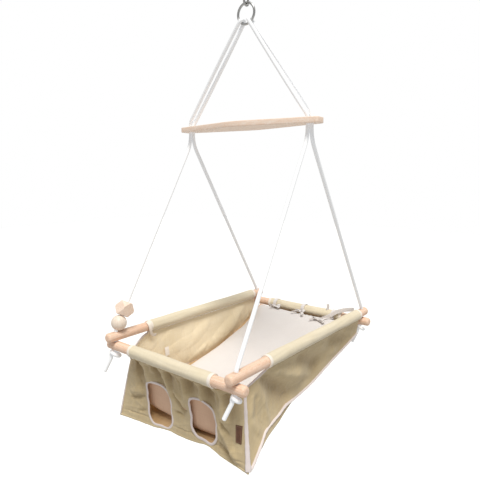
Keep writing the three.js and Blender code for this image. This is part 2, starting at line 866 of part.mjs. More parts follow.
function sidePiping(side) {
  const points = [];
  const startShare = (1.6 * pipingD) / cradleLength;
  for (let i = 0; i <= 22; i++) points.push(sideSeam(mix(startShare, 1, i / 22)));
  return tube(points.map((p) => p.multiply(V(side, 1, 1))), pipingD, 6);
}

function frontPiping() {
  const points = [];
  for (let i = 0; i <= 10; i++) points.push(frontEdge(i / 5 - 1));
  return tube(points, pipingD, 6);
}

// Middle line of the pad above a place across, with its upward direction: t runs back along
// the floor from the bend of the turned-up front end, and below zero it climbs that bend
// and then the straight run
function padLine(x, t) {
  const turn = Math.PI / 2 - (padLean * Math.PI) / 180;
  const yBend = yFrontEdge + padFrontGap + padT / 3 + padTurnR * Math.sin(turn);
  const y = yBend + Math.max(0, t);
  const climb = clamp01((y - yHole + padBackGap + padLiftRun) / padLiftRun);
  const floor = floorHeight(x, y) + clothT / 2 + padClear + padT / 3;
  const middle = V(x, y, floor + padLift * climb ** 2);
  if (t >= 0) return { middle, up: V(0, 0, 1), yBend };
  const angle = Math.min(turn, -t / padTurnR);
  const beyond = Math.max(0, -t - turn * padTurnR);
  middle.y -= padTurnR * Math.sin(angle) + beyond * Math.cos(angle);
  middle.z += padTurnR * (1 - Math.cos(angle)) + beyond * Math.sin(angle);
  return { middle, up: V(0, Math.sin(angle), Math.cos(angle)), yBend };
}

// Mattress pad: crowned, its sides drawn in between the corners, its front end turned up
// against the front wall and its far end lifted towards the back sleeve. Rows lie closer
// together over the bend.
function padSurface(level) {
  const bendRun = (Math.PI / 2 - (padLean * Math.PI) / 180) * padTurnR;
  const floorRun = yHole - padBackGap - padLine(0, 0).yBend;
  const total = padTurnUp + bendRun + floorRun;
  const runs = [0, padTurnUp, padTurnUp + bendRun, total];
  const rowShares = [0, 3 / 24, 7 / 24, 1];
  return (u, v) => {
    const part = v < rowShares[1] ? 0 : v < rowShares[2] ? 1 : 2;
    const inPart = (v - rowShares[part]) / (rowShares[part + 1] - rowShares[part]);
    const run = mix(runs[part], runs[part + 1], inPart);
    const across = 2 * u - 1;
    const along = (2 * run) / total - 1;
    const drawn = run - Math.sign(along) * padDrawIn * (1 - across ** 2) * along ** 6;
    const x = across * (padWidth / 2 - padDrawIn * (1 - along ** 2) * across ** 6);
    const { middle, up } = padLine(x, drawn - padTurnUp - bendRun);
    const full = Math.sqrt(Math.max(0, (1 - across ** 8) * (1 - along ** 8)));
    return middle.addScaledVector(up, full * (level > 0 ? (2 * padT) / 3 : -padT / 3));
  };
}

function mattressPad() {
  return shell(padSurface(1), padSurface(-1), 14, 24, true);
}

// A tie: a cloth band over the back sleeve, its near end reaching down to the pad
function padTie(x) {
  const r = sleeveD / 2 + touch;
  const from = -0.15 * Math.PI;
  const to = 1.06 * Math.PI;
  const band = new THREE.Shape();
  band.absarc(0, 0, r + tieT, from, to, false);
  band.lineTo((r + tieT) * Math.cos(to) - tieT, (r + tieT) * Math.sin(to) - tieReach);
  band.lineTo(r * Math.cos(to) - tieT, r * Math.sin(to) - tieReach);
  band.absarc(0, 0, r, to, from, true);
  return new THREE.ExtrudeGeometry(band, {
    depth: tieWidth,
    bevelEnabled: false,
    curveSegments: 14,
  })
    .rotateX(Math.PI / 2)
    .rotateZ(Math.PI / 2)
    .translate(x - tieWidth / 2, yHole, -zDowel);
}

// Blank leather label on the front wall, beside the corner piping
function leatherLabel() {
  const seam = cornerSeam((labelDrop + labelHeight / 2 - cornerDown) / (frontDrop - cornerDown));
  const xRight = seam.x - labelGap - pipingD / 2;
  const surface = (u, v) =>
    onFront(mix(xRight - labelWidth, xRight, u), -mix(labelDrop, labelDrop + labelHeight, v));
  return clothSheet(surface, 3, 5, labelT, clothT / 2 + touch + labelT / 2);
}

const sides = { left: -1, right: 1 };
const ends = { front: -1, back: 1 };
const knotTurns = { front_left: 38, front_right: 38, back_left: 60, back_right: 38 };

piece(root, "ceiling_hook", ceilingHook(), steel);
piece(root, "hanging_ring", hangingRing(), steel);
piece(root, "spreader_bar", spreaderBar(), beech);
for (const [sideName, side] of Object.entries(sides)) {
  piece(root, "bridle_rope_" + sideName, bridleRope(side), cottonRope);
  for (const [endName, end] of Object.entries(ends)) {
    const corner = endName + "_" + sideName;
    piece(root, "rope_" + corner, lowerRope(side, end), cottonRope);
    piece(root, "knot_" + corner, endKnot(side, end, knotTurns[corner]), cottonRope);
  }
}
piece(root, "bead_round", roundBead(), paleBeech);
piece(root, "bead_faceted", facetedBead(), beech);

for (const [endName, end] of Object.entries(ends)) {
  const length = end < 0 ? frontSleeveLength : backSleeveLength;
  const place = V(0, end * yHole, -zDowel).toArray();
  piece(cradle, "dowel_" + endName, dowel(cradleWidth).translate(...place), beech);
  const tunnel = sleeve(length).rotateZ(Math.PI / 2).translate(...place);
  piece(cradle, "sleeve_" + endName, tunnel, linen);
}
for (const [sideName, side] of Object.entries(sides)) {
  const rod = dowel(cradleLength).rotateZ(Math.PI / 2).translate(side * xHole, 0, zDowel);
  const yFrom = -yHole + sideSleeveFront;
  const yTo = yHole - sideSleeveBack;
  const tunnel = sleeve(yTo - yFrom).translate(side * xHole, (yFrom + yTo) / 2, zDowel);
  piece(cradle, "dowel_" + sideName, rod, beech);
  piece(cradle, "sleeve_" + sideName, tunnel, linen);
  piece(cradle, "side_panel_" + sideName, sidePanel(side), linen);
  piece(cradle, "corner_piping_" + sideName, cornerPiping(side), bindingTape);
  piece(cradle, "side_piping_" + sideName, sidePiping(side), bindingTape);
  piece(cradle, "leg_hole_trim_" + sideName, legTrim(side), bindingTape);
}
piece(cradle, "front_panel", frontPanel(), linen);
piece(cradle, "front_piping", frontPiping(), linen);
piece(cradle, "floor_panel", floorPanel(), linen);
piece(cradle, "mattress_pad", mattressPad(), padCotton);
piece(cradle, "label_blank", leatherLabel(), leather);
for (const [name, share] of Object.entries({ left: -1 / 2, middle: 0, right: 1 / 2 })) {
  piece(cradle, "pad_tie_" + name, padTie(share * tieSpanShare * backSleeveLength), padCotton);
}

export default root;
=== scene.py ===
"""Looks of the hanging baby cradle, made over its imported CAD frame.

The row frame is metres, +Z up, with its origin on the ceiling face above the hook. The
leg-hole end of the cradle points to -Y. Lengths here are millimetres, as in the part's
source, and become metres where a mesh is made.
"""
import math
from functools import partial

import bmesh
import bpy
import numpy as np
from mathutils import Euler, Matrix, Vector


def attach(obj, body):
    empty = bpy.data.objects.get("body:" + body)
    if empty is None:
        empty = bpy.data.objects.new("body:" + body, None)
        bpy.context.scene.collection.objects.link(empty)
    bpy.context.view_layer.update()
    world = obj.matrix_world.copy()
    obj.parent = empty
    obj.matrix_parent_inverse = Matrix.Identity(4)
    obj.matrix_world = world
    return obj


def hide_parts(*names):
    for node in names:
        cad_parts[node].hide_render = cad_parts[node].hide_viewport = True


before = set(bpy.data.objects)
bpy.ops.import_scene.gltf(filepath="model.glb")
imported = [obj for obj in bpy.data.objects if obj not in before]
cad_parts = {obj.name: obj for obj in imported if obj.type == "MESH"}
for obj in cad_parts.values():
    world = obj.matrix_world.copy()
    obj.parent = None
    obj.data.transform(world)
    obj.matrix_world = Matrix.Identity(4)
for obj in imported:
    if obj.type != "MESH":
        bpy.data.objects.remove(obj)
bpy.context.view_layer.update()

MM = 0.001
TOUCH = 0.3  # gap kept between pieces that touch

# Dowel frame
CRADLE_WIDTH = 400.0  # rope hole to rope hole, across
CRADLE_LENGTH = 612.0  # rope hole to rope hole, front to back
CRADLE_SHIFT = 26.0
DOWEL_D = 25.0
DOWEL_END_R = 7.0
DOWEL_OVERHANG = 28.0
ROPE_HOLE_D = 11.4

# Rope
ROPE_D = 10.0
ROPE_STEP = 1.6  # between the points of a centreline
BRAID_TURN = 10.0  # length of rope from one ridge of the braid to the next
BRAID_RELIEF = 0.035  # height of its ridges as a share of the radius
BRAID_STRAND = 5.0  # length of rope from strand to strand in its colour
STRAND_GAP = 0.5
STRAND_LEAD = 38.0
STRAND_BEND = 26.0
STRAND_KINK = 3.0
STRAND_RISE = 2.0
BRIDLE_BEND = 12.0  # pulled straight by the load, it bends nearer the bar than in the solid
BRIDLE_BEND_UP = 9.0
KNOT_INSET = 3.0
TAIL_LENGTH = 39.56

# Knots: a turn round the rope, tilted and sinking as it goes round. Shares are of its radius
KNOT_R = 8.2
LOOSE_KNOT_R = 10.6  # the knot at the front left, tied less tight
KNOT_UNDER = 7.6  # how far under the dowel the turn's middle starts
KNOT_TILT = 0.44
KNOT_SINK = 0.85
KNOT_SHIFT = 1.1  # sideways, for each millimetre that a knot is looser
KNOT_RAISE = 0.7
KNOT_RIGHT = np.array([0.784, 0.621, 0.0])  # to the right in the photograph
KNOT_NEAR = np.array([0.621, -0.784, 0.0])  # towards its camera
TAIL_WAY = np.array([-0.43, 0.06, -0.9])

# Hook and ring
HOOK_REACH = 52.0
HOOK_WIRE_D = 6.0
HOOK_BEND_R = 8.5
HOOK_TIP_RISE = 13.0
HOOK_FLANGE_D = 26.0
HOOK_FLANGE_T = 4.0
SCREW_LENGTH = 30.0
SCREW_NECK = 6.0  # plain, under the thread
SCREW_TIP = 7.0
SCREW_PITCH = 2.4
SCREW_CORE = 0.72  # share of the wire's radius
SCREW_THREAD = 0.9
RING_D = 58.0
RING_WIRE_D = 6.0
RING_WELD = 0.14  # height of the weld's bead
RING_TO_BAR = 245.0
BIGHT_SLACK = 0.5

# Spreader bar
BAR_HOLE_SPAN = 390.0
BAR_OVERHANG = 30.0
BAR_MID_WIDTH = 115.0
BAR_TIP_WIDTH = 32.0
BAR_CORNER_R = 7.0
BAR_MID_R = 40.0
BAR_T = 14.0
BAR_EDGE = 1.6
SLOT_ROOM = 1.3  # lets the strands lean without cutting the slot's edge
BAR_PIVOT_UP = 5.0
BAR_TO_FRAME = 525.0

# Sleeves
SLEEVE_D = 31.0
SLEEVE_HEM = 3.5
FRONT_SLEEVE_LENGTH = 276.0
BACK_SLEEVE_SEEN = 276.0  # gathered on the dowel, it shows shorter than its 330 mm solid
SIDE_SLEEVE_FRONT = 106.0
SIDE_SLEEVE_BACK = 26.0
SLEEVE_SIDES = 72
SLEEVE_CREASE = {"X": 2.45, "Y": 0.65}  # angle round the dowel at which the long crease wanders
HEM_WIDTH = 9.0
HEM_LIFT = 0.7

# Sling panels
CLOTH_T = 2.4
PIPING_D = 4.4
FRONT_DROP = 205.0
FRONT_SET_BACK = 21.0
FRONT_BOTTOM_WIDTH = 436.0
FRONT_DRAW_IN = 14.0
FRONT_EDGE_DRAW = 18.0
FRONT_EDGE_LIFTS = [(88, 34, 9), (-10, 38, -3)]  # place across, half width, height
BACK_DROP = 50.0
BACK_SET_IN = 14.0
BACK_WALL_TOP = 2.5
FLOOR_BELLY = 12.0
FLOOR_END = 0.94  # share of the floor's cloth that lies before it turns up
SIDE_DRAW_IN = 9.0
CORNER_IN = 12.0
CORNER_BACK = 44.0
CORNER_DOWN = 34.0
FOLD_DEPTH = 5.0
FOLD_WIDTH = 62.0
SIDE_FOLD_DEPTH = 4.0
SIDE_FOLD_COUNT = (2.2, 0.7)  # waves along the wall and down it
RIM_RISE = 14  # power by which the floor's rims climb to their seams
SEAM_LAP = 0.085  # share of the side wall that the floor's cloth laps up at most
LEFT_SAG = 10.0
LEFT_SAG_FROM = 30.0
LEFT_SAG_REACH = 80.0
LEFT_SAG_BACK = 70.0
SEAM_BULGE_OUT = 6.0
SEAM_BULGE_DOWN = 9.0
SEAM_BULGE_R = 11.0

# Relief of the front wall
RECESS = (-52, 24, -9)  # under the sleeve: place up, half width, height
HEM_STITCH = (17, 3.0, -2.0)  # above the lower edge, in the same way
LABEL_FLAT = ((187, 17), (-131, 31))  # where the label lies flat: place and half width, both ways
FOLD_GAIN = (1.5, 1.8)  # low on the wall and high up
DENT_LIMIT = (-8, -22)  # deepest dent, low on the wall and high up
FRONT_CRINKLE = 6.5
SIDE_CRINKLE = 3.2

# Leg holes
LEG_HOLE_WIDTH = 84.0
LEG_HOLE_HEIGHT = 100.0
LEG_HOLE_R = 27.0
LEG_HOLE_SPAN = 150.0
LEG_HOLE_DROP = 145.0
LEG_TRIM_D = 4.0
LEG_HOLE_PULL = {-1: 18.0, 1: 4.0}  # how much longer each hole is as it hangs
LEG_HOLE_RISE = {-1: -3.3, 1: 6.5}

# Mattress pad
PAD_WIDTH = 336.0
PAD_T = 27.0
PAD_FRONT_GAP = 28.0
PAD_TURN_R = 22.0  # tighter than in the solid, as the filling sinks into the corner
PAD_TURN_UP = 92.0
PAD_LEAN = math.radians(10)
PAD_BACK_GAP = 22.0
PAD_DRAW_IN = 6.0
PAD_CLEAR = 1.0
PAD_LIFT = 24.0
PAD_LIFT_RUN = 130.0
PAD_WELT_R = 1.7
FILL_VOXEL = 6.0
FILL_PRESSURE = 0.5
FILL_FRAMES = 20
FILL_REACH = 6.0  # how far the filling may push a point of the pad
FILL_UNDER = 0.15  # share of its move that a point on the floor keeps

# Small pieces
TIE_WIDTH = 12.0
TIE_T = 1.2
TIE_STEP = 110.0
LABEL_WIDTH = 15.0
LABEL_HEIGHT = 40.0
LABEL_T = 1.4
LABEL_GAP = 8.0
LABEL_DROP = 110.0
LABEL_BORDER = (2.2, 0.6, 0.35)  # in from the edge, half width, height
TAG_OFF_WALL = (4.0, 2.5)  # at its upper edge, and more at its lower
BALL_D = 40.0
FACET_BEAD_SCALE = 0.88  # the bead seen in use is smaller than its solid, and sits on the ball
BEAD_BORE_D = 11.2
BEAD_LIP = 0.06  # angle at which the ball's outside stops short of its bore
BEAD_WEAR = 0.9

# Shapes of the side seam, as shares
SEAM_RUN = [0, 0.104, 0.228, 0.37, 0.556, 0.744, 0.938, 1]
SEAM_WIDTH = [1.09, 1.045, 0.975, 0.925, 0.9, 0.912, 0.95, 0.965]
SEAM_DROP = [1, 0.69, 0.62, 0.56, 0.5, 0.31, 0.09, 0]

# Levels in the row frame
Z_HOOK = -HOOK_REACH
RING_R = (RING_D - RING_WIRE_D) / 2
Z_RING_TOP = Z_HOOK + (HOOK_WIRE_D + RING_WIRE_D) / 2 + TOUCH
Z_RING = Z_RING_TOP - RING_R
Z_BAR_TOP = Z_RING - RING_D / 2 - RING_TO_BAR
Z_BAR_UNDER = Z_BAR_TOP - BAR_T
Z_PIVOT = Z_BAR_UNDER + BAR_PIVOT_UP
Z_DOWEL_TOP = Z_BAR_UNDER - BAR_TO_FRAME
Z_FRAME = Z_DOWEL_TOP - DOWEL_D - TOUCH / 2
Z_DOWEL_UNDER = Z_FRAME - TOUCH / 2 - DOWEL_D

# Places in the cradle, measured from the middle of its frame plane
CRADLE = np.array([0.0, CRADLE_SHIFT, Z_FRAME])
DOWEL_R = DOWEL_D / 2
X_HOLE = CRADLE_WIDTH / 2
Y_HOLE = CRADLE_LENGTH / 2
Z_DOWEL = DOWEL_R + TOUCH / 2
HEM_REACH = SLEEVE_D / 2 + SLEEVE_HEM + TOUCH
Z_SIDE_TOP = Z_DOWEL - HEM_REACH
Z_END_TOP = -Z_DOWEL - HEM_REACH
Y_FRONT_EDGE = -Y_HOLE + FRONT_SET_BACK
Y_BACK_EDGE = Y_HOLE - BACK_SET_IN
X_CORNER = X_HOLE - CORNER_IN
Y_CORNER = -Y_HOLE + CORNER_BACK
STRAND_SPACING = ROPE_D + STRAND_GAP
SIDES = {"left": -1, "right": 1}
ENDS = {"front": -1, "back": 1}


# Arrays and curves

def mix(a, b, share):
    """The value that lies the share of the way from a to b."""
    return a + (b - a) * share


def clamp(values):
    """Values held between 0 and 1."""
    return np.clip(values, 0, 1)


def bell(distance, half):
    """A bell curve: e to the minus square of the distance over its half width."""
    return np.exp(-((distance / half) ** 2))


def between(values, start, rise, end, fall):
    """1 between a start and an end and 0 outside them, by straight slopes of two lengths."""
    return clamp((values - start) / rise) * clamp((end - values) / fall)


def dome(share, least):
    """A quarter circle's height over the share of its radius, never under the least."""
    return np.sqrt(np.clip(1 - (1 - share) ** 2, least, 1))


def circle(sides):
    """Angles of evenly spaced points round a circle."""
    return np.arange(sides) / sides * 2 * np.pi


def wrapped(angle):
    """The same angle between minus and plus half a turn."""
    return np.angle(np.exp(1j * angle))


def row(values):
    """Points as one array, three numbers each."""
    return np.array(values, dtype=float).reshape(-1, 3)


def unit(vectors):
    """Each vector divided by its length."""
    return vectors / np.maximum(np.linalg.norm(vectors, axis=-1, keepdims=True), 1e-12)


def run_along(path):
    """Running length at each point of a path: the sum of the distances before it."""
    return np.concatenate([[0], np.cumsum(np.linalg.norm(np.diff(path, axis=0), axis=1))])


def line_length(points):
    """The sum of the distances between a line's points."""
    return float(run_along(row(points))[-1])


def smooth_line(points, steps=12):
    """A centripetal Catmull-Rom line: between two points a cubic whose end slopes come from
    their neighbours, spaced by the square root of the distance."""
    p = row(points)
    p = np.vstack([2 * p[0] - p[1], p, 2 * p[-1] - p[-2]])
    gaps = np.linalg.norm(np.diff(p, axis=0), axis=1) ** 0.5
    a, b, c, d = p[:-3], p[1:-2], p[2:-1], p[3:]
    before, here, after = gaps[:-2, None], gaps[1:-1, None], gaps[2:, None]
    slope_b = ((b - a) / before - (c - a) / (before + here) + (c - b) / here) * here
    slope_c = ((c - b) / here - (d - b) / (here + after) + (d - c) / after) * here
    t = (np.arange(steps) / steps)[None, :, None]
    b, c, slope_b, slope_c = (x[:, None, :] for x in (b, c, slope_b, slope_c))
    cubic = (
        b + slope_b * t
        + (3 * (c - b) - 2 * slope_b - slope_c) * t**2
        + (2 * (b - c) + slope_b + slope_c) * t**3
    )
    return np.vstack([cubic.reshape(-1, 3), p[-2]])


def evenly(points, step):
    """The same line with points a step apart, found on its running length."""
    p = row(points)
    run = run_along(p)
    count = max(2, int(round(run[-1] / step)) + 1)
    at = np.linspace(0, run[-1], count)
    return np.stack([np.interp(at, run, p[:, k]) for k in range(3)], axis=1)


def quadratic(a, b, c, count):
    """A quadratic curve from a to c that b pulls towards itself."""
    t = np.linspace(0, 1, count)[:, None]
    return (1 - t) ** 2 * a + 2 * t * (1 - t) * b + t**2 * c


def bend(before, corner, after, reach, count=11):
    """A quadratic curve that leaves one line for another at a reach from their corner."""
    before, corner, after = (np.array(x, dtype=float) for x in (before, corner, after))
    start = corner + (before - corner) / np.linalg.norm(before - corner) * reach
    end = corner + (after - corner) / np.linalg.norm(after - corner) * reach
    return quadratic(start, corner, end, count)


def side_vectors(path, first=(0.0, 0.0, 1.0), closed=False):
    """Two unit vectors across a path at each point. The first is carried from point to point
    with no twist, by taking away what lies along the path's new direction."""
    if closed:
        along = unit(np.roll(path, -1, axis=0) - np.roll(path, 1, axis=0))
    else:
        along = unit(np.gradient(path, axis=0))
    across = np.empty_like(path)
    carried = np.array(first, dtype=float)
    if abs(carried @ along[0]) > 0.9:
        carried = np.array([0.0, 1.0, 0.0])
    for i, direction in enumerate(along):
        carried = carried - direction * (carried @ direction)
        carried = carried / np.linalg.norm(carried)
        across[i] = carried
    return across, np.cross(along, across)


# Meshes

def new_object(name, data):
    """An object at the origin, in the scene."""
    made = bpy.data.objects.new(name, data)
    bpy.context.scene.collection.objects.link(made)
    return made


def finished_mesh(piece):
    """A new mesh of the piece with its modifiers carried out."""
    bpy.context.view_layer.update()
    finished = piece.evaluated_get(bpy.context.evaluated_depsgraph_get())
    return bpy.data.meshes.new_from_object(finished)


def mesh_points(mesh):
    """All points of a mesh in millimetres."""
    places = np.empty(len(mesh.vertices) * 3, dtype=np.float32)
    mesh.vertices.foreach_get("co", places)
    return places.reshape(-1, 3).astype(float) / MM


def place_points(mesh, points):
    """Moves a mesh's points to places in millimetres."""
    mesh.vertices.foreach_set("co", (points * MM).astype(np.float32).ravel())


def grid_quads(rows, columns, loop_rows=False, loop_columns=False):
    """Corner numbers of a grid's quads, and the grid lines that each corner lies on."""
    i = np.arange(rows if loop_rows else rows - 1)[:, None]
    j = np.arange(columns if loop_columns else columns - 1)[None, :]
    lines = [(i + 0 * j, j + 0 * i), (i + 0 * j, j + 1 + 0 * i),
             (i + 1 + 0 * j, j + 1 + 0 * i), (i + 1 + 0 * j, j + 0 * i)]
    quads = [(a % rows) * columns + b % columns for a, b in lines]
    flat = lambda arrays: np.stack(arrays, axis=-1).reshape(-1, 4)
    return flat(quads), flat([a for a, b in lines]), flat([b for a, b in lines])


def grid_rim(line):
    """Point numbers once round the rim of a grid of them."""
    return np.concatenate([line[0, :-1], line[:-1, -1], line[-1, :0:-1], line[:0:-1, 0]])


def grid_normals(points):
    """Unit normals of a grid of points: the cross product of its slopes both ways."""
    return unit(np.cross(np.gradient(points, axis=0), np.gradient(points, axis=1)))


def running(points, axis, closed=False):
    """Running length along one direction of a grid, averaged over the other."""
    if closed:
        points = np.concatenate([points, np.take(points, [0], axis=axis)], axis=axis)
    gaps = np.linalg.norm(np.diff(points, axis=axis), axis=-1).mean(axis=1 - axis)
    return np.concatenate([[0], np.cumsum(gaps)])


def length_map(points, i, j, loop_rows=False, loop_columns=False):
    """UV map of a grid: the running lengths along its columns and rows at row i, column j, so
    that a weave keeps its real size."""
    down, across = running(points, 0, loop_rows), running(points, 1, loop_columns)
    return np.stack([across[j], down[i]], axis=-1)


def add_mesh(name, points, quads, corner_uv, material, caps=(), sharp=None):
    """A mesh from points in millimetres and quads, turned outwards by its signed volume, the
    sum of the corners' triple products."""
    corners = points[quads]
    volume = np.einsum("ij,ij->", corners[:, 0], np.cross(corners[:, 1], corners[:, 2]))
    volume += np.einsum("ij,ij->", corners[:, 0], np.cross(corners[:, 2], corners[:, 3]))
    for cap in caps:
        fan = points[cap]
        volume += np.einsum("ij,ij->", np.broadcast_to(fan[0], fan[1:-1].shape),
                            np.cross(fan[1:-1], fan[2:]))
    if volume < 0:
        quads, corner_uv = quads[:, ::-1], corner_uv[:, ::-1]
        caps = [cap[::-1] for cap in caps]
    mesh = bpy.data.meshes.new(name)
    loops = np.concatenate([quads.reshape(-1), *caps]) if len(caps) else quads.reshape(-1)
    sizes = np.concatenate([np.full(len(quads), 4), [len(c) for c in caps]]).astype(np.int32)
    mesh.vertices.add(len(points))
    place_points(mesh, points)
    mesh.loops.add(len(loops))
    mesh.loops.foreach_set("vertex_index", loops.astype(np.int32))
    mesh.polygons.add(len(sizes))
    starts = np.concatenate([[0], np.cumsum(sizes)[:-1]]).astype(np.int32)
    mesh.polygons.foreach_set("loop_start", starts)
    mesh.update(calc_edges=True)
    uv = np.zeros((len(loops), 2), dtype=np.float32)
    uv[: quads.size] = corner_uv.reshape(-1, 2) * MM
    mesh.uv_layers.new(name="cloth").data.foreach_set("uv", uv.reshape(-1))
    mesh.shade_smooth()
    if sharp:
        mesh.set_sharp_from_angle(angle=math.radians(sharp))
    mesh.validate()
    mesh.materials.append(material)
    return new_object(name, mesh)


def surface(name, points, material, loop_rows=False, loop_columns=True, sharp=None):
    """A closed surface over a grid of points, a tube or a ring of them. A tube's ends are
    filled."""
    rows, columns = points.shape[:2]
    quads, i, j = grid_quads(rows, columns, loop_rows, loop_columns)
    uv = length_map(points, i, j, loop_rows, loop_columns)
    ends = [np.arange(columns)[::-1], np.arange(columns) + (rows - 1) * columns]
    caps = () if loop_rows else ends
    return add_mesh(name, points.reshape(-1, 3), quads, uv, material, caps, sharp)


def swept(name, path, radius, material, sides=24, closed=False, first=(0.0, 0.0, 1.0)):
    """A tube: at each point of the path a ring of points at the radius, which is a number or
    a function of the angle and the running length."""
    path = row(path)
    a, b = side_vectors(path, first, closed)
    turn = circle(sides)
    run = run_along(path)[:, None]
    r = radius(turn[None, :], run) if callable(radius) else np.full((len(path), sides), radius)
    ring = (np.cos(turn)[None, :, None] * a[:, None, :]
            + np.sin(turn)[None, :, None] * b[:, None, :])
    points = path[:, None, :] + r[..., None] * ring
    return surface(name, points, material, closed)


def turned(profile, axis="Z", sides=48):
    """Points of a profile of (radius, height) turned round an axis; the height runs along it."""
    profile = np.array(profile, dtype=float)
    turn = circle(sides)
    r, h = profile[:, 0][:, None], profile[:, 1][:, None]
    flat = [r * np.cos(turn), r * np.sin(turn), h + 0 * turn]
    order = {"Z": (0, 1, 2), "X": (2, 0, 1), "Y": (1, 2, 0)}[axis]
    return np.stack([flat[k] for k in order], axis=-1)


def cloth(name, shape, rows, columns, material, relief=None, thickness=CLOTH_T, lining=None,
          outward=1):
    """Cloth of one thickness: a grid set off to both sides of the shape along its normals,
    closed round the rim. The relief is a height added to both sides, from the shares and the
    places in the cradle, outward or against the normals; it is kept as an attribute in
    millimetres. The lining shows on the side that the normals point to."""
    u, v = np.meshgrid(np.linspace(0, 1, rows), np.linspace(0, 1, columns), indexing="ij")
    points = shape(u, v)
    height = np.zeros(points.shape[:2])
    if relief is not None:
        height = relief(u, v, points - CRADLE)
        points = points + outward * grid_normals(points) * height[..., None]
    normal = grid_normals(points)
    front, back = points + normal * thickness / 2, points - normal * thickness / 2
    quads, i, j = grid_quads(rows, columns)
    count = rows * columns
    uv = length_map(points, i, j)
    rim = grid_rim(np.arange(count).reshape(rows, columns))
    after = np.roll(rim, -1)
    wall = np.stack([rim, rim + count, after + count, after], axis=-1)
    spread = length_map(points, rim // columns, rim % columns)
    wall_uv = np.stack([spread, spread, np.roll(spread, -1, 0), np.roll(spread, -1, 0)], axis=1)
    every = np.concatenate([quads, quads[:, ::-1] + count, wall])
    every_uv = np.concatenate([uv, uv[:, ::-1], wall_uv])
    both = np.concatenate([front.reshape(-1, 3), back.reshape(-1, 3)])
    piece = add_mesh(name, both, every, every_uv, material, sharp=50)
    # The kept height also drives painted shade: the linen canvas darkens where the cloth goes in.
    kept = piece.data.attributes.new("fold_height", "FLOAT", "POINT")
    kept.data.foreach_set("value", np.tile(height.ravel(), 2).astype(np.float32))
    if lining:
        piece.data.materials.append(lining)
        lined = (np.arange(len(every)) < len(quads)).astype(np.int32)
        piece.data.polygons.foreach_set("material_index", lined)
    return piece


def joined(piece, *others):
    """One piece out of several that are made alike."""
    with bpy.context.temp_override(active_object=piece, selected_editable_objects=[piece, *others]):
        bpy.ops.object.join()
    return piece


def cut_by(piece, *tools):
    """The piece less the tools, which are taken away."""
    for tool in tools:
        modifier = piece.modifiers.new("cut", "BOOLEAN")
        modifier.operation, modifier.solver = "DIFFERENCE", "EXACT"
        modifier.object = tool
    mesh = finished_mesh(piece)
    piece.modifiers.clear()
    piece.data = mesh
    for tool in tools:
        bpy.data.objects.remove(tool)
    return piece


def dress(piece, body, slot, *nodes):
    """The piece moves with a body and stands for its CAD nodes. Its finish slot is not used."""
    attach(piece, body)
    if nodes:
        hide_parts(*nodes)
    return piece


# Materials

COLOURS = {"out": 2, "data_type": "RGBA", "clamp_factor": True}  # a Mix node's, for colours
BRAID = 8  # strands each way round a rope
SLUB_STRETCH = 0.05


def hex_colour(code):
    """An sRGB hex code as linear red, green, blue and alpha."""
    parts = np.array([int(code[k : k + 2], 16) / 255 for k in (1, 3, 5)])
    linear = np.where(parts <= 0.04045, parts / 12.92, ((parts + 0.055) / 1.055) ** 2.4)
    return (*linear.tolist(), 1.0)


def set_inputs(node, inputs):
    """Inputs in order or by name: values, hex colours or other nodes' outputs."""
    for key, value in (inputs.items() if isinstance(inputs, dict) else enumerate(inputs)):
        if isinstance(value, bpy.types.NodeSocket):
            node.id_data.links.new(value, node.inputs[key])
        else:
            value = hex_colour(value) if isinstance(value, str) else value
            node.inputs[key].default_value = value


def add_node(tree, kind, inputs=(), out=0, **settings):
    """A node with its settings and links, given back as one of its outputs."""
    node = tree.nodes.new("ShaderNode" + kind)
    for key, value in settings.items():
        setattr(node, key, value)
    set_inputs(node, inputs)
    return node.outputs[out]


def new_material(name, inputs):
    """A principled material, its shader, and a call that adds a node to it."""
    material = bpy.data.materials.new(name)
    material.use_nodes = True
    shader = material.node_tree.nodes["Principled BSDF"]
    set_inputs(shader, inputs)
    return material, shader, partial(add_node, material.node_tree)


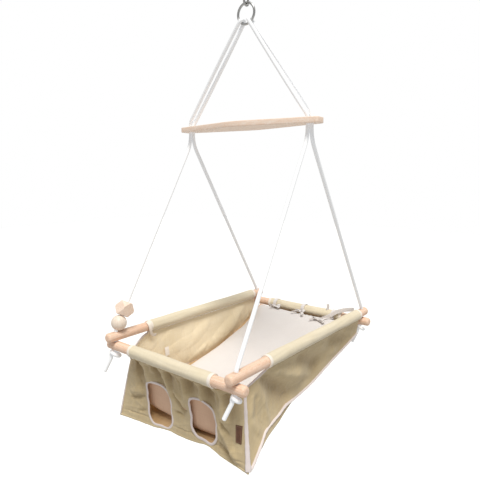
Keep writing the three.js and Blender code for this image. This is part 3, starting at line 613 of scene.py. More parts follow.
def canvas(name, light, dark, spacing, roughness=0.92, blotch=14.0, slub=0.5, bump=0.35,
           painted_fold_shade=None):
    """Woven cotton or linen canvas. The height is a plain weave: the product of two sine waves
    whose half wave is the thread spacing in millimetres, so that raised crossings alternate
    as over and under do. The tone follows the weave, with painted shade in its hollows, and
    adds slubs, the product of two noises drawn out along the threads, and soft blotches. A
    dark colour of painted shade takes over in folds by 17 mm of depth, standing in for the
    shade that falls in them and the light thrown there from cloth to cloth."""
    material, shade, add = new_material(
        name, {"Roughness": roughness, "Sheen Weight": 0.15, "Sheen Roughness": 0.6})
    uv = add("UVMap", uv_map="cloth")
    waves, streaks = [], []
    for way in add("SeparateXYZ", [uv]).node.outputs[:2]:
        angle = add("Math", [way, math.pi / (spacing * MM)], operation="MULTIPLY")
        waves.append(add("Math", [angle], operation="SINE"))
    weave = add("Math", [add("Math", waves, operation="MULTIPLY")], operation="ABSOLUTE")
    slub_width = 2.4 * spacing * MM
    for stretch in ((SLUB_STRETCH, 1.0, 1.0), (1.0, SLUB_STRETCH, 1.0)):
        drawn = add("Mapping", {"Vector": uv, "Scale": stretch})
        streaks.append(add("TexNoise", {"Vector": drawn, "Scale": 1 / slub_width, "Detail": 2.0}))
    slubs = add("Math", streaks, operation="MULTIPLY")
    place = add("TexCoord", out="Object")
    blotches = add("TexNoise", {"Vector": place, "Scale": blotch, "Detail": 4.0})
    # Painted shade: the weave's hollows are coloured darker than its raised crossings.
    tone = add("Math", [weave, 0.22, -0.45], operation="MULTIPLY_ADD")
    tone = add("Math", [slubs, 2.2 * slub, tone], operation="MULTIPLY_ADD")
    tone = add("Math", [blotches, 0.9, tone], operation="MULTIPLY_ADD")
    colour = add("Mix", {0: tone, 6: dark, 7: light}, **COLOURS)
    # Painted shade: where the kept fold height goes in, the colour turns towards a dark brown, up
    # to 60 % of the way at 17 mm deep.
    if painted_fold_shade:
        depth = add("Attribute", out="Fac", attribute_name="fold_height")
        share = add("MapRange", {"Value": depth, "From Min": -17.0, "From Max": 0.0,
                                 "To Min": 0.6, "To Max": 0.0})
        colour = add("Mix", {0: share, 6: colour, 7: painted_fold_shade}, **COLOURS)
    raised = add("Math", [slubs, 2.0, weave], operation="MULTIPLY_ADD")
    relief = add("Bump", {"Height": raised, "Strength": bump, "Distance": 0.4 * MM})
    set_inputs(shade, {"Base Color": colour, "Normal": relief})
    return material


def linen_canvas():
    """Undyed linen and cotton canvas, woven, for the walls' outer side: warm sand colour with
    slubs, a darker copy of the sleeves' cloth as painted shade, and a dark brown painted shade
    in its folds. Its 0.6 mm threads are drawn at 1.1 mm, or they wouldn't show."""
    return canvas("linen_canvas", "#DBC9A4", "#BFAA82", 1.1, painted_fold_shade="#8A6F4C")


def pale_canvas():
    """The canvas of the sleeves: cream, a lighter copy of the walls' cloth as painted light for
    the sleeves' lit tops; threads drawn at 1.1 mm as well.
    """
    return canvas("pale_canvas", "#ECE2CC", "#DDCFB1", 1.1)


def lining_canvas():
    """The walls' inner side: the lightest of the canvases, a warm cream copy of the walls'
    cloth as painted light for the inner walls, which face the light; drawn as the others.
    """
    return canvas("lining_canvas", "#FAECD2", "#EEDBB5", 1.1)


def painted_glow_canvas():
    """The floor's inner side: the darkest of the canvases, a warm tan that paints the glow of
    light thrown from cloth to cloth onto the shaded floor; drawn as the others.
    """
    return canvas("painted_glow_canvas", "#DDBE92", "#C6A271", 1.1)


def hem_canvas():
    """The pale canvas folded double at a hem, paler still: in part a painted highlight for the
    light that the raised hem catches.
    """
    return canvas("pale_canvas_hem", "#FBF3EA", "#EFE4D6", 1.1, slub=0.4)


def bias_binding():
    """Cotton bias binding: fine, smooth, mauve white. Threads of 0.3 mm drawn at 0.7 mm."""
    return canvas("bias_binding", "#F0E7E4", "#DCD0CD", 0.7, roughness=0.85, slub=0.3, bump=0.2)


def pad_cotton():
    """Washed cotton over wadding: nearly white with a lilac cast, threads of 0.4 mm drawn at
    0.8 mm."""
    return canvas("pad_cotton", "#EAE6E4", "#DED8D5", 0.8, blotch=9.0, slub=0.25, bump=0.2)


def painted_shade_backing():
    """Cotton on the pad's underside, warm light brown: painted shade, for the warm shade of the
    pad's turned-up end behind the front wall, lit only by light thrown from the cloths.
    Threads drawn at 1.1 mm.
    """
    return canvas("painted_shade_backing", "#EDCBAE", "#DCB496", 1.1, blotch=9.0)


def braided_cotton():
    """Solid braided cotton rope, bleached: pure white, with 8 strands each way round it, a faint
    painted glow by emission that lifts its shaded sides, and painted shade in the hollows
    between strands. A strand shows as a soft diamond about 4 mm across: the product of two
    sine waves that wind opposite ways."""
    # Painted light: a faint white emission brightens the rope on its shaded sides too.
    material, shade, add = new_material("braided_cotton", {
        "Roughness": 0.9, "Sheen Weight": 0.2, "Sheen Roughness": 0.6,
        "Emission Color": "#F6F9FF", "Emission Strength": 0.12})
    across, along = add("SeparateXYZ", [add("UVMap", uv_map="cloth")]).node.outputs[:2]
    around = add("Math", [across, BRAID / (math.pi * ROPE_D * MM)], operation="MULTIPLY")
    run = add("Math", [along, BRAID_STRAND * MM], operation="DIVIDE")
    arcs = []
    for winding in ("ADD", "SUBTRACT"):
        turns = add("Math", [around, run], operation=winding)
        angle = add("Math", [turns, math.pi], operation="MULTIPLY")
        arcs.append(add("Math", [add("Math", [angle], operation="SINE")], operation="ABSOLUTE"))
    height = add("Math", [add("Math", arcs, operation="MULTIPLY"), 0.4], operation="POWER")
    place = add("TexCoord", out="Object")
    fluff = add("TexNoise", {"Vector": place, "Scale": 900.0, "Detail": 2.0})
    fibres = add("Math", [fluff, 0.4], operation="MULTIPLY")
    # Painted shade: the hollows between strands are coloured darker than the ridges.
    tone = add("Math", [height, 0.75, fibres], operation="MULTIPLY_ADD")
    colour = add("Mix", {0: tone, 6: "#E6E8EA", 7: "#FAFBFD"}, **COLOURS)
    raised = add("Math", [height, fibres], operation="ADD")
    relief = add("Bump", {"Height": raised, "Strength": 0.45, "Distance": 0.6 * MM})
    set_inputs(shade, {"Base Color": colour, "Normal": relief})
    return material


def beech(name, light, dark, grain="X", roughness=0.5):
    """Sanded, unlacquered beech: pale pinkish, with long faint grain and short darker rays.
    Grain lines lie about 2 mm apart and run for 80 mm; a ray is 3 mm long and 0.4 mm wide.
    Both are noises drawn out along the grain."""
    material, shade, add = new_material(name, {"Roughness": roughness, "Specular IOR Level": 0.35})
    place = add("TexCoord", out="Object")
    def stretched(along, across):
        scale = [1 / (across * MM)] * 3
        scale["XYZ".index(grain)] = 1 / (along * MM)
        return add("Mapping", {"Vector": place, "Scale": scale})
    lines = add("TexNoise", {"Vector": stretched(80, 4), "Scale": 1.0, "Detail": 5.0,
                             "Distortion": 0.4})
    rays = add("TexNoise", {"Vector": stretched(6, 0.8), "Scale": 1.0, "Detail": 0.0})
    marks = add("MapRange", {"Value": rays, "From Min": 0.62, "From Max": 0.72, "To Max": 0.45})
    tone = add("Math", [lines, marks], operation="ADD")
    share = add("MapRange", {"Value": tone, "From Min": 0.3, "From Max": 0.85})
    colour = add("Mix", {0: share, 6: light, 7: dark}, **COLOURS)
    relief = add("Bump", {"Height": lines, "Strength": 0.12, "Distance": 0.3 * MM})
    set_inputs(shade, {"Base Color": colour, "Normal": relief})
    return material


def zinc_steel():
    """Zinc-plated steel wire: satin, grey, with fine drawing marks that blur its highlights."""
    material, shade, add = new_material("zinc_steel", {"Metallic": 1.0})
    place = add("TexCoord", out="Object")
    marks = add("TexNoise", {"Vector": place, "Scale": 400.0, "Detail": 3.0})
    colour = add("Mix", {0: marks, 6: "#A6A6A5", 7: "#D0D0CE"}, **COLOURS)
    rough = add("MapRange", {"Value": marks, "To Min": 0.24, "To Max": 0.42})
    set_inputs(shade, {"Base Color": colour, "Roughness": rough})
    return material


def vegetable_leather():
    """Vegetable-tanned leather, dark brown: a fine pebble grain of about 1 mm, a worn tone, and
    a rubbed, paler line where the border stands up."""
    material, shade, add = new_material("vegetable_leather", {"Roughness": 0.55})
    place = add("TexCoord", out="Object")
    pebbles = add("TexVoronoi", {"Vector": place, "Scale": 1 / (1.0 * MM)}, out="Distance")
    wear = add("TexNoise", {"Vector": place, "Scale": 120.0, "Detail": 3.0})
    colour = add("Mix", {0: wear, 6: "#4A2C1E", 7: "#7A5038"}, **COLOURS)
    border = add("Attribute", out="Fac", attribute_name="fold_height")
    rubbed = add("Math", [border, 1.8], operation="MULTIPLY")
    colour = add("Mix", {0: rubbed, 6: colour, 7: "#A98B70"}, **COLOURS)
    relief = add("Bump", {"Height": pebbles, "Strength": 0.3, "Distance": 0.2 * MM})
    set_inputs(shade, {"Base Color": colour, "Normal": relief})
    return material


def studio_paper():
    """White studio paper that throws back half of the light but shows as white."""
    material, shade, add = new_material("studio_paper", {"Roughness": 0.9})
    seen = add("LightPath", out="Is Camera Ray")
    colour = add("Mix", {0: seen, 6: (0.5, 0.5, 0.5, 1.0), 7: "#FFFFFF"}, **COLOURS)
    set_inputs(shade, {"Base Color": colour})
    return material


# Camera, light and floor

IMAGE_SIDE = 480
CAMERA_PLACE = (0.77590, -0.99746, -0.49080)
CAMERA_AZIMUTH = 38.399
CAMERA_PITCH = 7.489
CAMERA_ROLL = 0.406
CAMERA_FOCUS_PX = 467.98
ROOM_LIGHT = 0.43  # strength at which the room lights, where the camera sees 1
SUN_TOWARDS = (0.31, -0.33, 1.0)
SUN_SPREAD = 22  # degrees: daylight from a wide patch of sky
SUN_STRENGTH = 2.8
FLOOR_LEVEL = -2100.0
FLOOR_REACH = 14000.0


def photo_camera():
    """The camera that was fitted to the photograph's rope holes, bar and ring."""
    data = bpy.data.cameras.new("photo_camera")
    data.sensor_width = 36.0
    data.lens = data.sensor_width * CAMERA_FOCUS_PX / IMAGE_SIDE
    data.clip_start, data.clip_end = 0.05, 60
    camera = new_object("photo_camera", data)
    level = Euler((math.radians(90 - CAMERA_PITCH), 0, math.radians(CAMERA_AZIMUTH)), "XYZ")
    roll = Euler((0, 0, math.radians(CAMERA_ROLL)), "XYZ")
    turn = level.to_matrix() @ roll.to_matrix()
    camera.matrix_world = Matrix.Translation(CAMERA_PLACE) @ turn.to_4x4()
    bpy.context.scene.camera = camera


def studio():
    """A white room that the camera sees brighter than it lights, broad soft light from
    overhead, and a pale floor far below the cradle."""
    scene = bpy.context.scene
    scene.view_settings.view_transform = "Standard"
    world = bpy.data.worlds.new("white_room")
    scene.world = world
    world.use_nodes = True
    tree = world.node_tree
    seen = add_node(tree, "LightPath", out="Is Camera Ray")
    strength = add_node(tree, "MapRange", {"Value": seen, "To Min": ROOM_LIGHT})
    set_inputs(tree.nodes["Background"], {"Color": "#FFFFFF", "Strength": strength})
    sun = bpy.data.lights.new("overhead", "SUN")
    sun.angle, sun.energy = math.radians(SUN_SPREAD), SUN_STRENGTH
    sun.color = hex_colour("#FFFDF8")[:3]
    light = new_object("overhead", sun)
    light.rotation_euler = Vector(SUN_TOWARDS).to_track_quat("Z", "Y").to_euler()
    corners = np.array([[-1, -1], [1, -1], [1, 1], [-1, 1]]) * FLOOR_REACH
    points = np.column_stack([corners, np.full(4, FLOOR_LEVEL)])
    floor = add_mesh("floor", points, np.array([[0, 1, 2, 3]]), np.zeros((1, 4, 2)), studio_paper())


# Ropes

def corner_place(side, end, z):
    """A corner's rope hole, seen from above, at a level."""
    return np.array([side * X_HOLE, CRADLE_SHIFT + end * Y_HOLE, z])


def strand_foot(side, end):
    """Where a strand enters the upper dowel, a little over its top."""
    return corner_place(side, end, Z_DOWEL_TOP) + (0, 0, STRAND_RISE)


def strand_start(side, end):
    """Where a strand leaves the bar's slot: half a rope spacing to the left of the slot's
    middle if it goes to the front, and to the right if it goes to the back."""
    return np.array([side * BAR_HOLE_SPAN / 2 + end * STRAND_SPACING / 2, 0, Z_PIVOT])


def strand_turn(side, end):
    """Where a strand turns away to its corner: its lead below the start."""
    return strand_start(side, end) - (0, 0, STRAND_LEAD)


def strand_path(side, end):
    """Centreline of a lower strand: down out of the bar, away to its corner, and down
    through both dowels, with a quadratic bend at each turn."""
    top, turn, foot = strand_start(side, end), strand_turn(side, end), strand_foot(side, end)
    bottom = corner_place(side, end, Z_DOWEL_UNDER)
    bends = bend(top, turn, foot, STRAND_BEND), bend(turn, foot, bottom, STRAND_KINK)
    return evenly(np.vstack([top, *bends, bottom]), ROPE_STEP)


def rope_radius(diameter):
    """Radius of a solid braid: two families of eight soft ridges wind round it, one each way,
    and meet as the product of two sines' absolute values."""
    def radius(turn, run):
        wave = 2 * np.pi * run / BRAID_TURN
        angle = BRAID / 2 * turn
        ridges = np.abs(np.sin(angle + wave / 2)) * np.abs(np.sin(angle - wave / 2))
        return diameter / 2 * (1 - BRAID_RELIEF + BRAID_RELIEF * ridges)
    return radius


def lower_rope(side_name, end_name, cotton):
    """A lower strand with its path. It starts half a diameter up inside the slot, where its
    radius grows over that length as a dome does."""
    path = strand_path(SIDES[side_name], ENDS[end_name])
    start = path[0] + (0, 0, ROPE_D / 2)
    path = np.vstack([np.linspace(start, path[0], 5)[:-1], path])
    def radius(turn, run):
        return rope_radius(ROPE_D)(turn, run) * dome(clamp(run / (ROPE_D / 2)), 0.03)
    corner = end_name + "_" + side_name
    piece = swept("strand_" + corner, path, radius, cotton, first=(1.0, 0.0, 0.0))
    dress(piece, "cradle", "rope", "rope_" + corner)
    return piece, path


def bridle_path(side):
    """Centreline of a doubled rope: up one side of the bar's slot, over the ring's wire in half
    a circle and down again. Both strands keep off a middle line by a reach that turns from X
    in the slot to Y at the ring, in step with the share of the way."""
    x_slot = side * BAR_HOLE_SPAN / 2
    ring = np.array([0, 0, Z_RING])
    outward = unit(np.array([x_slot, 0, Z_BAR_TOP]) - ring)
    loop_r = (RING_WIRE_D + ROPE_D) / 2 + TOUCH + BIGHT_SLACK
    centre = ring + outward * (RING_R + BIGHT_SLACK)
    start = np.array([x_slot, 0, Z_PIVOT + ROPE_D / 2 + TOUCH])
    curve = bend(start, (x_slot, 0, Z_BAR_TOP + BRIDLE_BEND_UP), centre, BRIDLE_BEND, 5)
    runs = np.arange(1, 6)[:, None] / 6
    middle = np.vstack([start, curve, curve[-1] + (centre - curve[-1]) * runs])
    in_slot = 2  # points before the strands start to turn
    share = clamp((np.arange(len(middle)) - in_slot) / (len(middle) - in_slot))[:, None]
    after = np.vstack([middle[1:], middle[-1:]])
    before = np.vstack([middle[:1], middle[:-1]])
    along = unit(after - before)
    across = np.column_stack([along[:, 2], np.zeros(len(along)), -along[:, 0]])
    reach = mix(STRAND_SPACING / 2, loop_r, share)
    step = reach * (np.cos(share * np.pi / 2) * across + np.sin(share * np.pi / 2) * (0, 1, 0))
    turn = np.linspace(0, np.pi, 17)[1:-1, None]
    bight = centre + loop_r * (np.cos(turn) * (0, 1, 0) - np.sin(turn) * outward)
    return evenly(smooth_line(np.vstack([middle + step, bight, (middle - step)[::-1]])), ROPE_STEP)


def bridle_rope(side_name, cotton):
    """A doubled rope with its path."""
    path = bridle_path(SIDES[side_name])
    piece = swept("bridle_" + side_name, path, rope_radius(ROPE_D), cotton)
    dress(piece, "hanger", "rope", "bridle_rope_" + side_name)
    return piece, path


def knot_path(side, end):
    """One tight turn round the rope under the dowel, high at the left and low at the right, as
    a tilted circle that sinks as it goes round, then a straight tail that hangs out."""
    r = LOOSE_KNOT_R if side < 0 and end < 0 else KNOT_R
    loose = r - KNOT_R
    share = np.linspace(0, 1, 13)
    t = np.pi * (1 - 2 * share)
    sink = KNOT_RAISE * loose - KNOT_UNDER - KNOT_TILT * r * np.cos(t) - KNOT_SINK * r * share
    turn = np.column_stack([r * np.cos(t) - KNOT_SHIFT * loose, r * np.sin(t), sink])
    lead = [(0, 0, KNOT_INSET), (0, 0, 0.5), (-0.55 * r, -0.2 * r, -2.5)]
    tail = np.linspace(0, 1, 6)[:, None] * TAIL_WAY * TAIL_LENGTH
    tail = tail + (-r - 0.5 - KNOT_SHIFT * loose, 2.0, -10.0 - r)
    path = np.vstack([lead, turn[1:], tail])
    foot = corner_place(side, end, Z_DOWEL_UNDER)
    placed = foot + path[:, :1] * KNOT_RIGHT + path[:, 1:2] * KNOT_NEAR + path[:, 2:] * (0, 0, 1)
    return evenly(smooth_line(placed, 10), 1.2)


def end_knot(side_name, end_name, cotton):
    """A knot. Its rope is pulled tight, so its turn presses into the rope inside it, and the
    cut end narrows over 2 mm by the square root of what is left."""
    corner = end_name + "_" + side_name
    path = knot_path(SIDES[side_name], ENDS[end_name])
    length = line_length(path)
    def radius(turn, run):
        return rope_radius(ROPE_D)(turn, run) * mix(0.85, 1, np.sqrt(clamp((length - run) / 2.0)))
    piece = swept("knot_" + corner + "_cotton", path, radius, cotton, sides=20)
    return dress(piece, "cradle", "rope", "knot_" + corner)


# Hook and ring

def screw_hook(steel):
    """A screw, whose thread is a triangle wave of height and angle, a turned flange, and a wire
    bent out, round in half a circle and up again."""
    r = HOOK_WIRE_D / 2
    height = np.linspace(0, SCREW_LENGTH, 121)[:, None]
    taper = np.clip((SCREW_LENGTH - height) / SCREW_TIP, 0.02, 1) ** 0.6
    turn = circle(32)
    phase = (height / SCREW_PITCH - turn[None, :] / (2 * np.pi)) % 1
    thread = clamp(1 - np.abs(phase - 0.5) * 5) * SCREW_THREAD
    core = (r * SCREW_CORE + thread * clamp(height - SCREW_NECK)) * taper
    core = np.where(height < SCREW_NECK, r, core)
    points = np.stack([core * np.cos(turn), core * np.sin(turn), height + 0 * turn], axis=-1)
    screw = surface("ceiling_hook_steel", points, steel, sharp=60)
    edge = HOOK_FLANGE_D / 2
    rim = np.linspace(-np.pi / 2, np.pi / 2, 7)
    profile = [(0.01, -HOOK_FLANGE_T), (edge - 3, -HOOK_FLANGE_T)]
    profile += [(edge - 1.2 + 1.2 * math.cos(a), -1.6 + 1.5 * math.sin(a)) for a in rim]
    profile += [(edge - 2, 0), (0.01, 0)]
    flange = surface("flange", turned(profile), steel, sharp=50)
    middle = Z_HOOK + HOOK_BEND_R
    neck = -HOOK_FLANGE_T - HOOK_WIRE_D
    bow = [(0, HOOK_BEND_R * math.cos(a), middle + HOOK_BEND_R * math.sin(a))
           for a in np.linspace(0, -np.pi, 13)]
    wire = [(0, 0, -HOOK_FLANGE_T / 2), (0, 0, neck), (0, HOOK_BEND_R / 2, mix(neck, middle, 0.45)),
            *bow,
            (0, -HOOK_BEND_R - TOUCH, middle + HOOK_TIP_RISE / 2),
            (0, -HOOK_BEND_R - r, middle + HOOK_TIP_RISE)]
    path = evenly(smooth_line(wire), 0.8)
    tip = unit(path[-1] - path[-2]) * np.linspace(0.4, r, 6)[:, None]
    path = np.vstack([path, path[-1] + tip])
    length = line_length(path)
    def radius(turn, run):
        return r * dome(clamp((length - run) / r), 0.02) + 0 * turn
    hook = swept("wire", path, radius, steel, first=(1.0, 0.0, 0.0))
    return dress(joined(screw, flange, hook), "hook", "steel", "ceiling_hook")


def hanging_ring(steel):
    """A wire ring in the XZ plane, a little thicker at its weld by a bell curve."""
    turn = circle(120)
    path = np.column_stack([RING_R * np.cos(turn), 0 * turn, Z_RING + RING_R * np.sin(turn)])
    def radius(angle, run):
        return RING_WIRE_D / 2 + RING_WELD * bell(run - math.pi * RING_R / 4, 2.0) + 0 * angle
    piece = swept("hanging_ring_steel", path, radius, steel, closed=True, first=(0.0, 1.0, 0.0))
    return dress(piece, "ring", "steel", "hanging_ring")


# Spreader bar

def bar_outline():
    """Outline from above: straight slopes from a rounded middle to blunt rounded ends."""
    x_end = BAR_HOLE_SPAN / 2 + BAR_OVERHANG
    slope = (BAR_MID_WIDTH - BAR_TIP_WIDTH) / 2 / x_end
    tip = np.array([x_end, BAR_TIP_WIDTH / 2])
    on_side = np.array([x_end - BAR_CORNER_R, BAR_TIP_WIDTH / 2 + slope * BAR_CORNER_R])
    on_end = np.array([x_end, BAR_TIP_WIDTH / 2 - BAR_CORNER_R])
    near_mid = np.array([BAR_MID_R, BAR_MID_WIDTH / 2 - slope * BAR_MID_R])
    middle = np.array([0, BAR_MID_WIDTH / 2])
    quarter = np.vstack([quadratic(on_end, tip, on_side, 9), near_mid[None]])
    crown = quadratic(near_mid, middle, near_mid * (-1, 1), 17)[1:-1]
    top = np.vstack([quarter, crown, (quarter * (-1, 1))[::-1]])
    return np.vstack([top, top[::-1] * (1, -1)])


def slot_outline(x):
    """A slot's outline from above: two half circles, one strand spacing apart."""
    r = ROPE_D / 2 + SLOT_ROOM
    reach = STRAND_SPACING / 2
    a = np.linspace(-np.pi / 2, np.pi / 2, 13)
    right = np.column_stack([x + reach + r * np.cos(a), r * np.sin(a)])
    left = np.column_stack([x - reach - r * np.cos(a), -r * np.sin(a)])
    return np.vstack([right, left])


def spreader_bar(wood, edge_wood):
    """A flat board: its outline and both slots filled, thickened and rounded at the edges. Its
    steep faces take a second beech tone, a little darker, as painted light and shade for how
    light falls on them."""
    flat = bpy.data.curves.new("bar", "CURVE")
    flat.dimensions, flat.fill_mode = "2D", "BOTH"
    flat.extrude = (BAR_T / 2 - BAR_EDGE) * MM
    flat.bevel_depth, flat.bevel_resolution = BAR_EDGE * MM, 3
    flat.offset = -BAR_EDGE * MM
    slots = [slot_outline(side * BAR_HOLE_SPAN / 2) for side in (-1, 1)]
    for outline in (bar_outline(), *slots):
        spline = flat.splines.new("POLY")
        spline.points.add(len(outline) - 1)
        level = np.tile([0.0, 1.0], (len(outline), 1))
        spline.points.foreach_set("co", np.column_stack([outline * MM, level]).ravel())
        spline.use_cyclic_u = True
    holder = new_object("bar_curve", flat)
    mesh = finished_mesh(holder)
    bpy.data.objects.remove(holder)
    place_points(mesh, mesh_points(mesh) + (0, 0, Z_BAR_UNDER + BAR_T / 2))
    mesh.shade_smooth()
    mesh.set_sharp_from_angle(angle=math.radians(40))
    piece = new_object("spreader_bar_beech", mesh)
    mesh.materials.clear()
    mesh.materials.append(wood)
    mesh.materials.append(edge_wood)
    normals = np.empty(len(mesh.polygons) * 3, dtype=np.float32)
    mesh.polygons.foreach_get("normal", normals)
    # Painted light and shade: steep faces take their own tone by the way they face.
    steep = np.abs(normals[2::3]) < 0.7
    mesh.polygons.foreach_set("material_index", steep.astype(np.int32))
    return dress(piece, "hanger", "beech", "spreader_bar")


# Dowels

def dowel(name, span, place, axis, wood):
    """A rod turned from a profile with quarter circles at its ends, bored for the rope at both
    corners."""
    half = span / 2 + DOWEL_OVERHANG
    inner, shoulder = DOWEL_R - DOWEL_END_R, half - DOWEL_END_R
    end = [(inner + DOWEL_END_R * math.cos(t), shoulder + DOWEL_END_R * math.sin(t))
           for t in np.linspace(np.pi / 2, 0, 9)]
    top = np.array([(0.02, half), (inner * 0.5, half), *end])
    body = np.array([(DOWEL_R, h) for h in np.linspace(shoulder - 4, 4 - shoulder, 15)])
    profile = np.vstack([top, body, (top * (1, -1))[::-1]])
    piece = surface(name + "_beech", turned(profile, axis) + place, wood, sharp=35)
    bore = turned([(ROPE_HOLE_D / 2, -DOWEL_D), (ROPE_HOLE_D / 2, DOWEL_D)], sides=32)
    along = np.array([axis == "X", axis == "Y", 0]) * span / 2
    tools = [surface("bore", bore + place + sign * along, wood) for sign in (-1, 1)]
    return dress(cut_by(piece, *tools), "cradle", "beech", name)


# Beads

def round_and_faceted_beads(pale, wood):
    """Two beads on the front left strand. The ball is a bored circle turned and tilted to lie
    along the strand; the other is its solid's own mesh, whose flat facets are joined, drawn
    smaller about its contact with the ball, with worn edges."""
    foot = strand_foot(-1, -1)
    up = unit(strand_turn(-1, -1) - foot)
    r, bore = BALL_D / 2, BEAD_BORE_D / 2
    centre = foot + up * (r + TOUCH - STRAND_RISE) / up[2]
    tilt = np.array(Vector((0, 0, 1)).rotation_difference(Vector(up)).to_matrix())
    edge = math.asin(bore / r) + BEAD_LIP
    outside = [(r * math.sin(t), r * math.cos(t)) for t in np.linspace(edge, np.pi - edge, 41)]
    lip = r * math.cos(edge) - 0.6
    inside = [(bore, h) for h in np.linspace(-lip, lip, 5)]
    ball = turned([*outside, *inside], sides=64) @ tilt.T + centre
    piece = surface("bead_round_beech", ball, pale, loop_rows=True, sharp=50)
    dress(piece, "bead_round", "pale_beech", "bead_round")
    source = bmesh.new()
    source.from_mesh(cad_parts["bead_faceted"].data)
    bmesh.ops.remove_doubles(source, verts=source.verts, dist=0.01 * MM)
    bmesh.ops.dissolve_limit(source, angle_limit=math.radians(2), verts=source.verts,
                             edges=source.edges)
    mesh = bpy.data.meshes.new("bead_faceted_beech")
    source.to_mesh(mesh)
    source.free()
    contact = centre + up * (r + TOUCH)
    place_points(mesh, mix(contact, mesh_points(mesh), FACET_BEAD_SCALE))
    faceted = new_object("bead_faceted_beech", mesh)
    mesh.materials.clear()
    mesh.materials.append(wood)
    bevel = faceted.modifiers.new("worn_edges", "BEVEL")
    bevel.width, bevel.segments, bevel.angle_limit = BEAD_WEAR * MM, 3, math.radians(25)
    return dress(faceted, "bead_faceted", "beech", "bead_faceted")


# Sling surfaces, measured from the middle of the frame plane

_seam = smooth_line(
    [(FRONT_BOTTOM_WIDTH / 2 if i == 0 else SEAM_WIDTH[i] * X_HOLE,
      mix(Y_FRONT_EDGE, Y_BACK_EDGE, run),
      -mix(BACK_DROP, FRONT_DROP, SEAM_DROP[i])) for i, run in enumerate(SEAM_RUN)],
    80,
)


def side_seam(run):
    """Point of the side seam by how far back it lies, from 0 at the front corner to 1."""
    y = mix(Y_FRONT_EDGE, Y_BACK_EDGE, clamp(run))
    x = np.interp(y, _seam[:, 1], _seam[:, 0])
    z = np.interp(y, _seam[:, 1], _seam[:, 2])
    return np.stack([x, y, z], axis=-1)


def corner_seam(share):
    """Straight seam from the cut-away at the frame down to the lower corner."""
    top = np.array([X_CORNER, Y_CORNER, -CORNER_DOWN])
    return top + (side_seam(0.0) - top) * np.asarray(share)[..., None]


def front_edge(across):
    """The front wall's lower edge: a parabola seen from above, raised and lowered a little by
    bell curves, as its folds do."""
    x = across * FRONT_BOTTOM_WIDTH / 2
    lift = sum(height * bell(x - place, half) for place, half, height in FRONT_EDGE_LIFTS)
    y = Y_FRONT_EDGE + FRONT_EDGE_DRAW * (1 - across**2)
    return np.stack([x, y, lift - FRONT_DROP], axis=-1)


def front_surface(across, down):
    """Front wall: from the sleeve's hem to the lower edge, drawn in at half height by a sine,
    with folds, a sine across, that fade downwards."""
    half = FRONT_SLEEVE_LENGTH / 2
    away = np.clip((np.abs(across) * X_CORNER - half) / (X_CORNER - half), 0, None)
    top = np.stack([across * X_CORNER, -Y_HOLE + CORNER_BACK * away**1.6,
                    mix(Z_END_TOP, -CORNER_DOWN, away)], axis=-1)
    point = top + (front_edge(across) - top) * down[..., None]
    fold = np.sin(point[..., 0] / FOLD_WIDTH * 2 * np.pi + 1.3) * np.exp(-3 * down)
    hang = np.sin(np.pi * clamp(down))
    draw = FRONT_DRAW_IN * hang + FOLD_DEPTH * fold * np.sqrt(clamp(hang))
    point[..., 1] += draw * (1 - across**4)
    return point


def side_surface(along, down):
    """Side wall on the +X side: from the sleeve's hem to the side seam, drawn in by a sine,
    with slanting folds, a sine along and down."""
    y = mix(Y_CORNER, Y_BACK_EDGE, along)
    sleeve_start = -Y_HOLE + SIDE_SLEEVE_FRONT
    away = clamp((sleeve_start - y) / (sleeve_start - Y_CORNER))
    top = np.stack([X_HOLE - CORNER_IN * away**2, y, mix(Z_SIDE_TOP, -CORNER_DOWN, away**1.4)],
                   axis=-1)
    point = top + (side_seam(along) - top) * down[..., None]
    hang = np.sin(np.pi * clamp(down)) * (1 - (2 * along - 1) ** 4)
    fold = np.sin(2 * np.pi * (SIDE_FOLD_COUNT[0] * along + SIDE_FOLD_COUNT[1] * down))
    point[..., 0] -= SIDE_DRAW_IN * hang - SIDE_FOLD_DEPTH * fold * hang
    return point


def bound_seam(run):
    """The stitched seam of the side wall: on its lower edge, but up the wall near the front,
    where the floor's cloth laps over the edge."""
    return side_surface(run, 1 - SEAM_LAP * between(run, 0.03, 0.09, 0.42, 0.1))


def floor_surface(across, back, rise=4):
    """Floor: level across but for its rising rims, bellied along its length by a sine. The
    rims climb with a power of the share across."""
    edge = side_seam(back)
    run = (edge[..., 1] - Y_FRONT_EDGE) / (Y_BACK_EDGE - Y_FRONT_EDGE)
    middle = -mix(FRONT_DROP, BACK_DROP, run) - FLOOR_BELLY * np.sin(np.pi * clamp(run))
    fade = clamp(1 - run) ** 4
    y = edge[..., 1] + FRONT_EDGE_DRAW * (1 - across**2) * fade
    wave = (front_edge(across)[..., 2] + FRONT_DROP) * fade**4
    return np.stack([across * edge[..., 0], y, mix(middle, edge[..., 2], across**rise) + wave],
                    axis=-1)


def floor_height(x, y):
    """Height of the floor at a place seen from above, found by repeated steps."""
    length = Y_BACK_EDGE - Y_FRONT_EDGE
    back = clamp((y - Y_FRONT_EDGE) / length)
    for _ in range(6):
        point = floor_surface(clamp(np.abs(x) / side_seam(back)[..., 0]), back)
        back = clamp(back + (y - point[..., 1]) / length)
    return point[..., 2]


def floor_or_back_wall(across, back):
    """Past the seam's end the floor turns up to the back sleeve's hem, along straight lines."""
    flat = floor_surface(across, np.minimum(back / FLOOR_END, 1), RIM_RISE)
    hem = np.stack([across * BACK_SLEEVE_SEEN / 2, Y_HOLE - BACK_WALL_TOP + 0 * across,
                    Z_END_TOP + 0 * across], axis=-1)
    return mix(flat, hem, clamp((back - FLOOR_END) / (1 - FLOOR_END))[..., None])


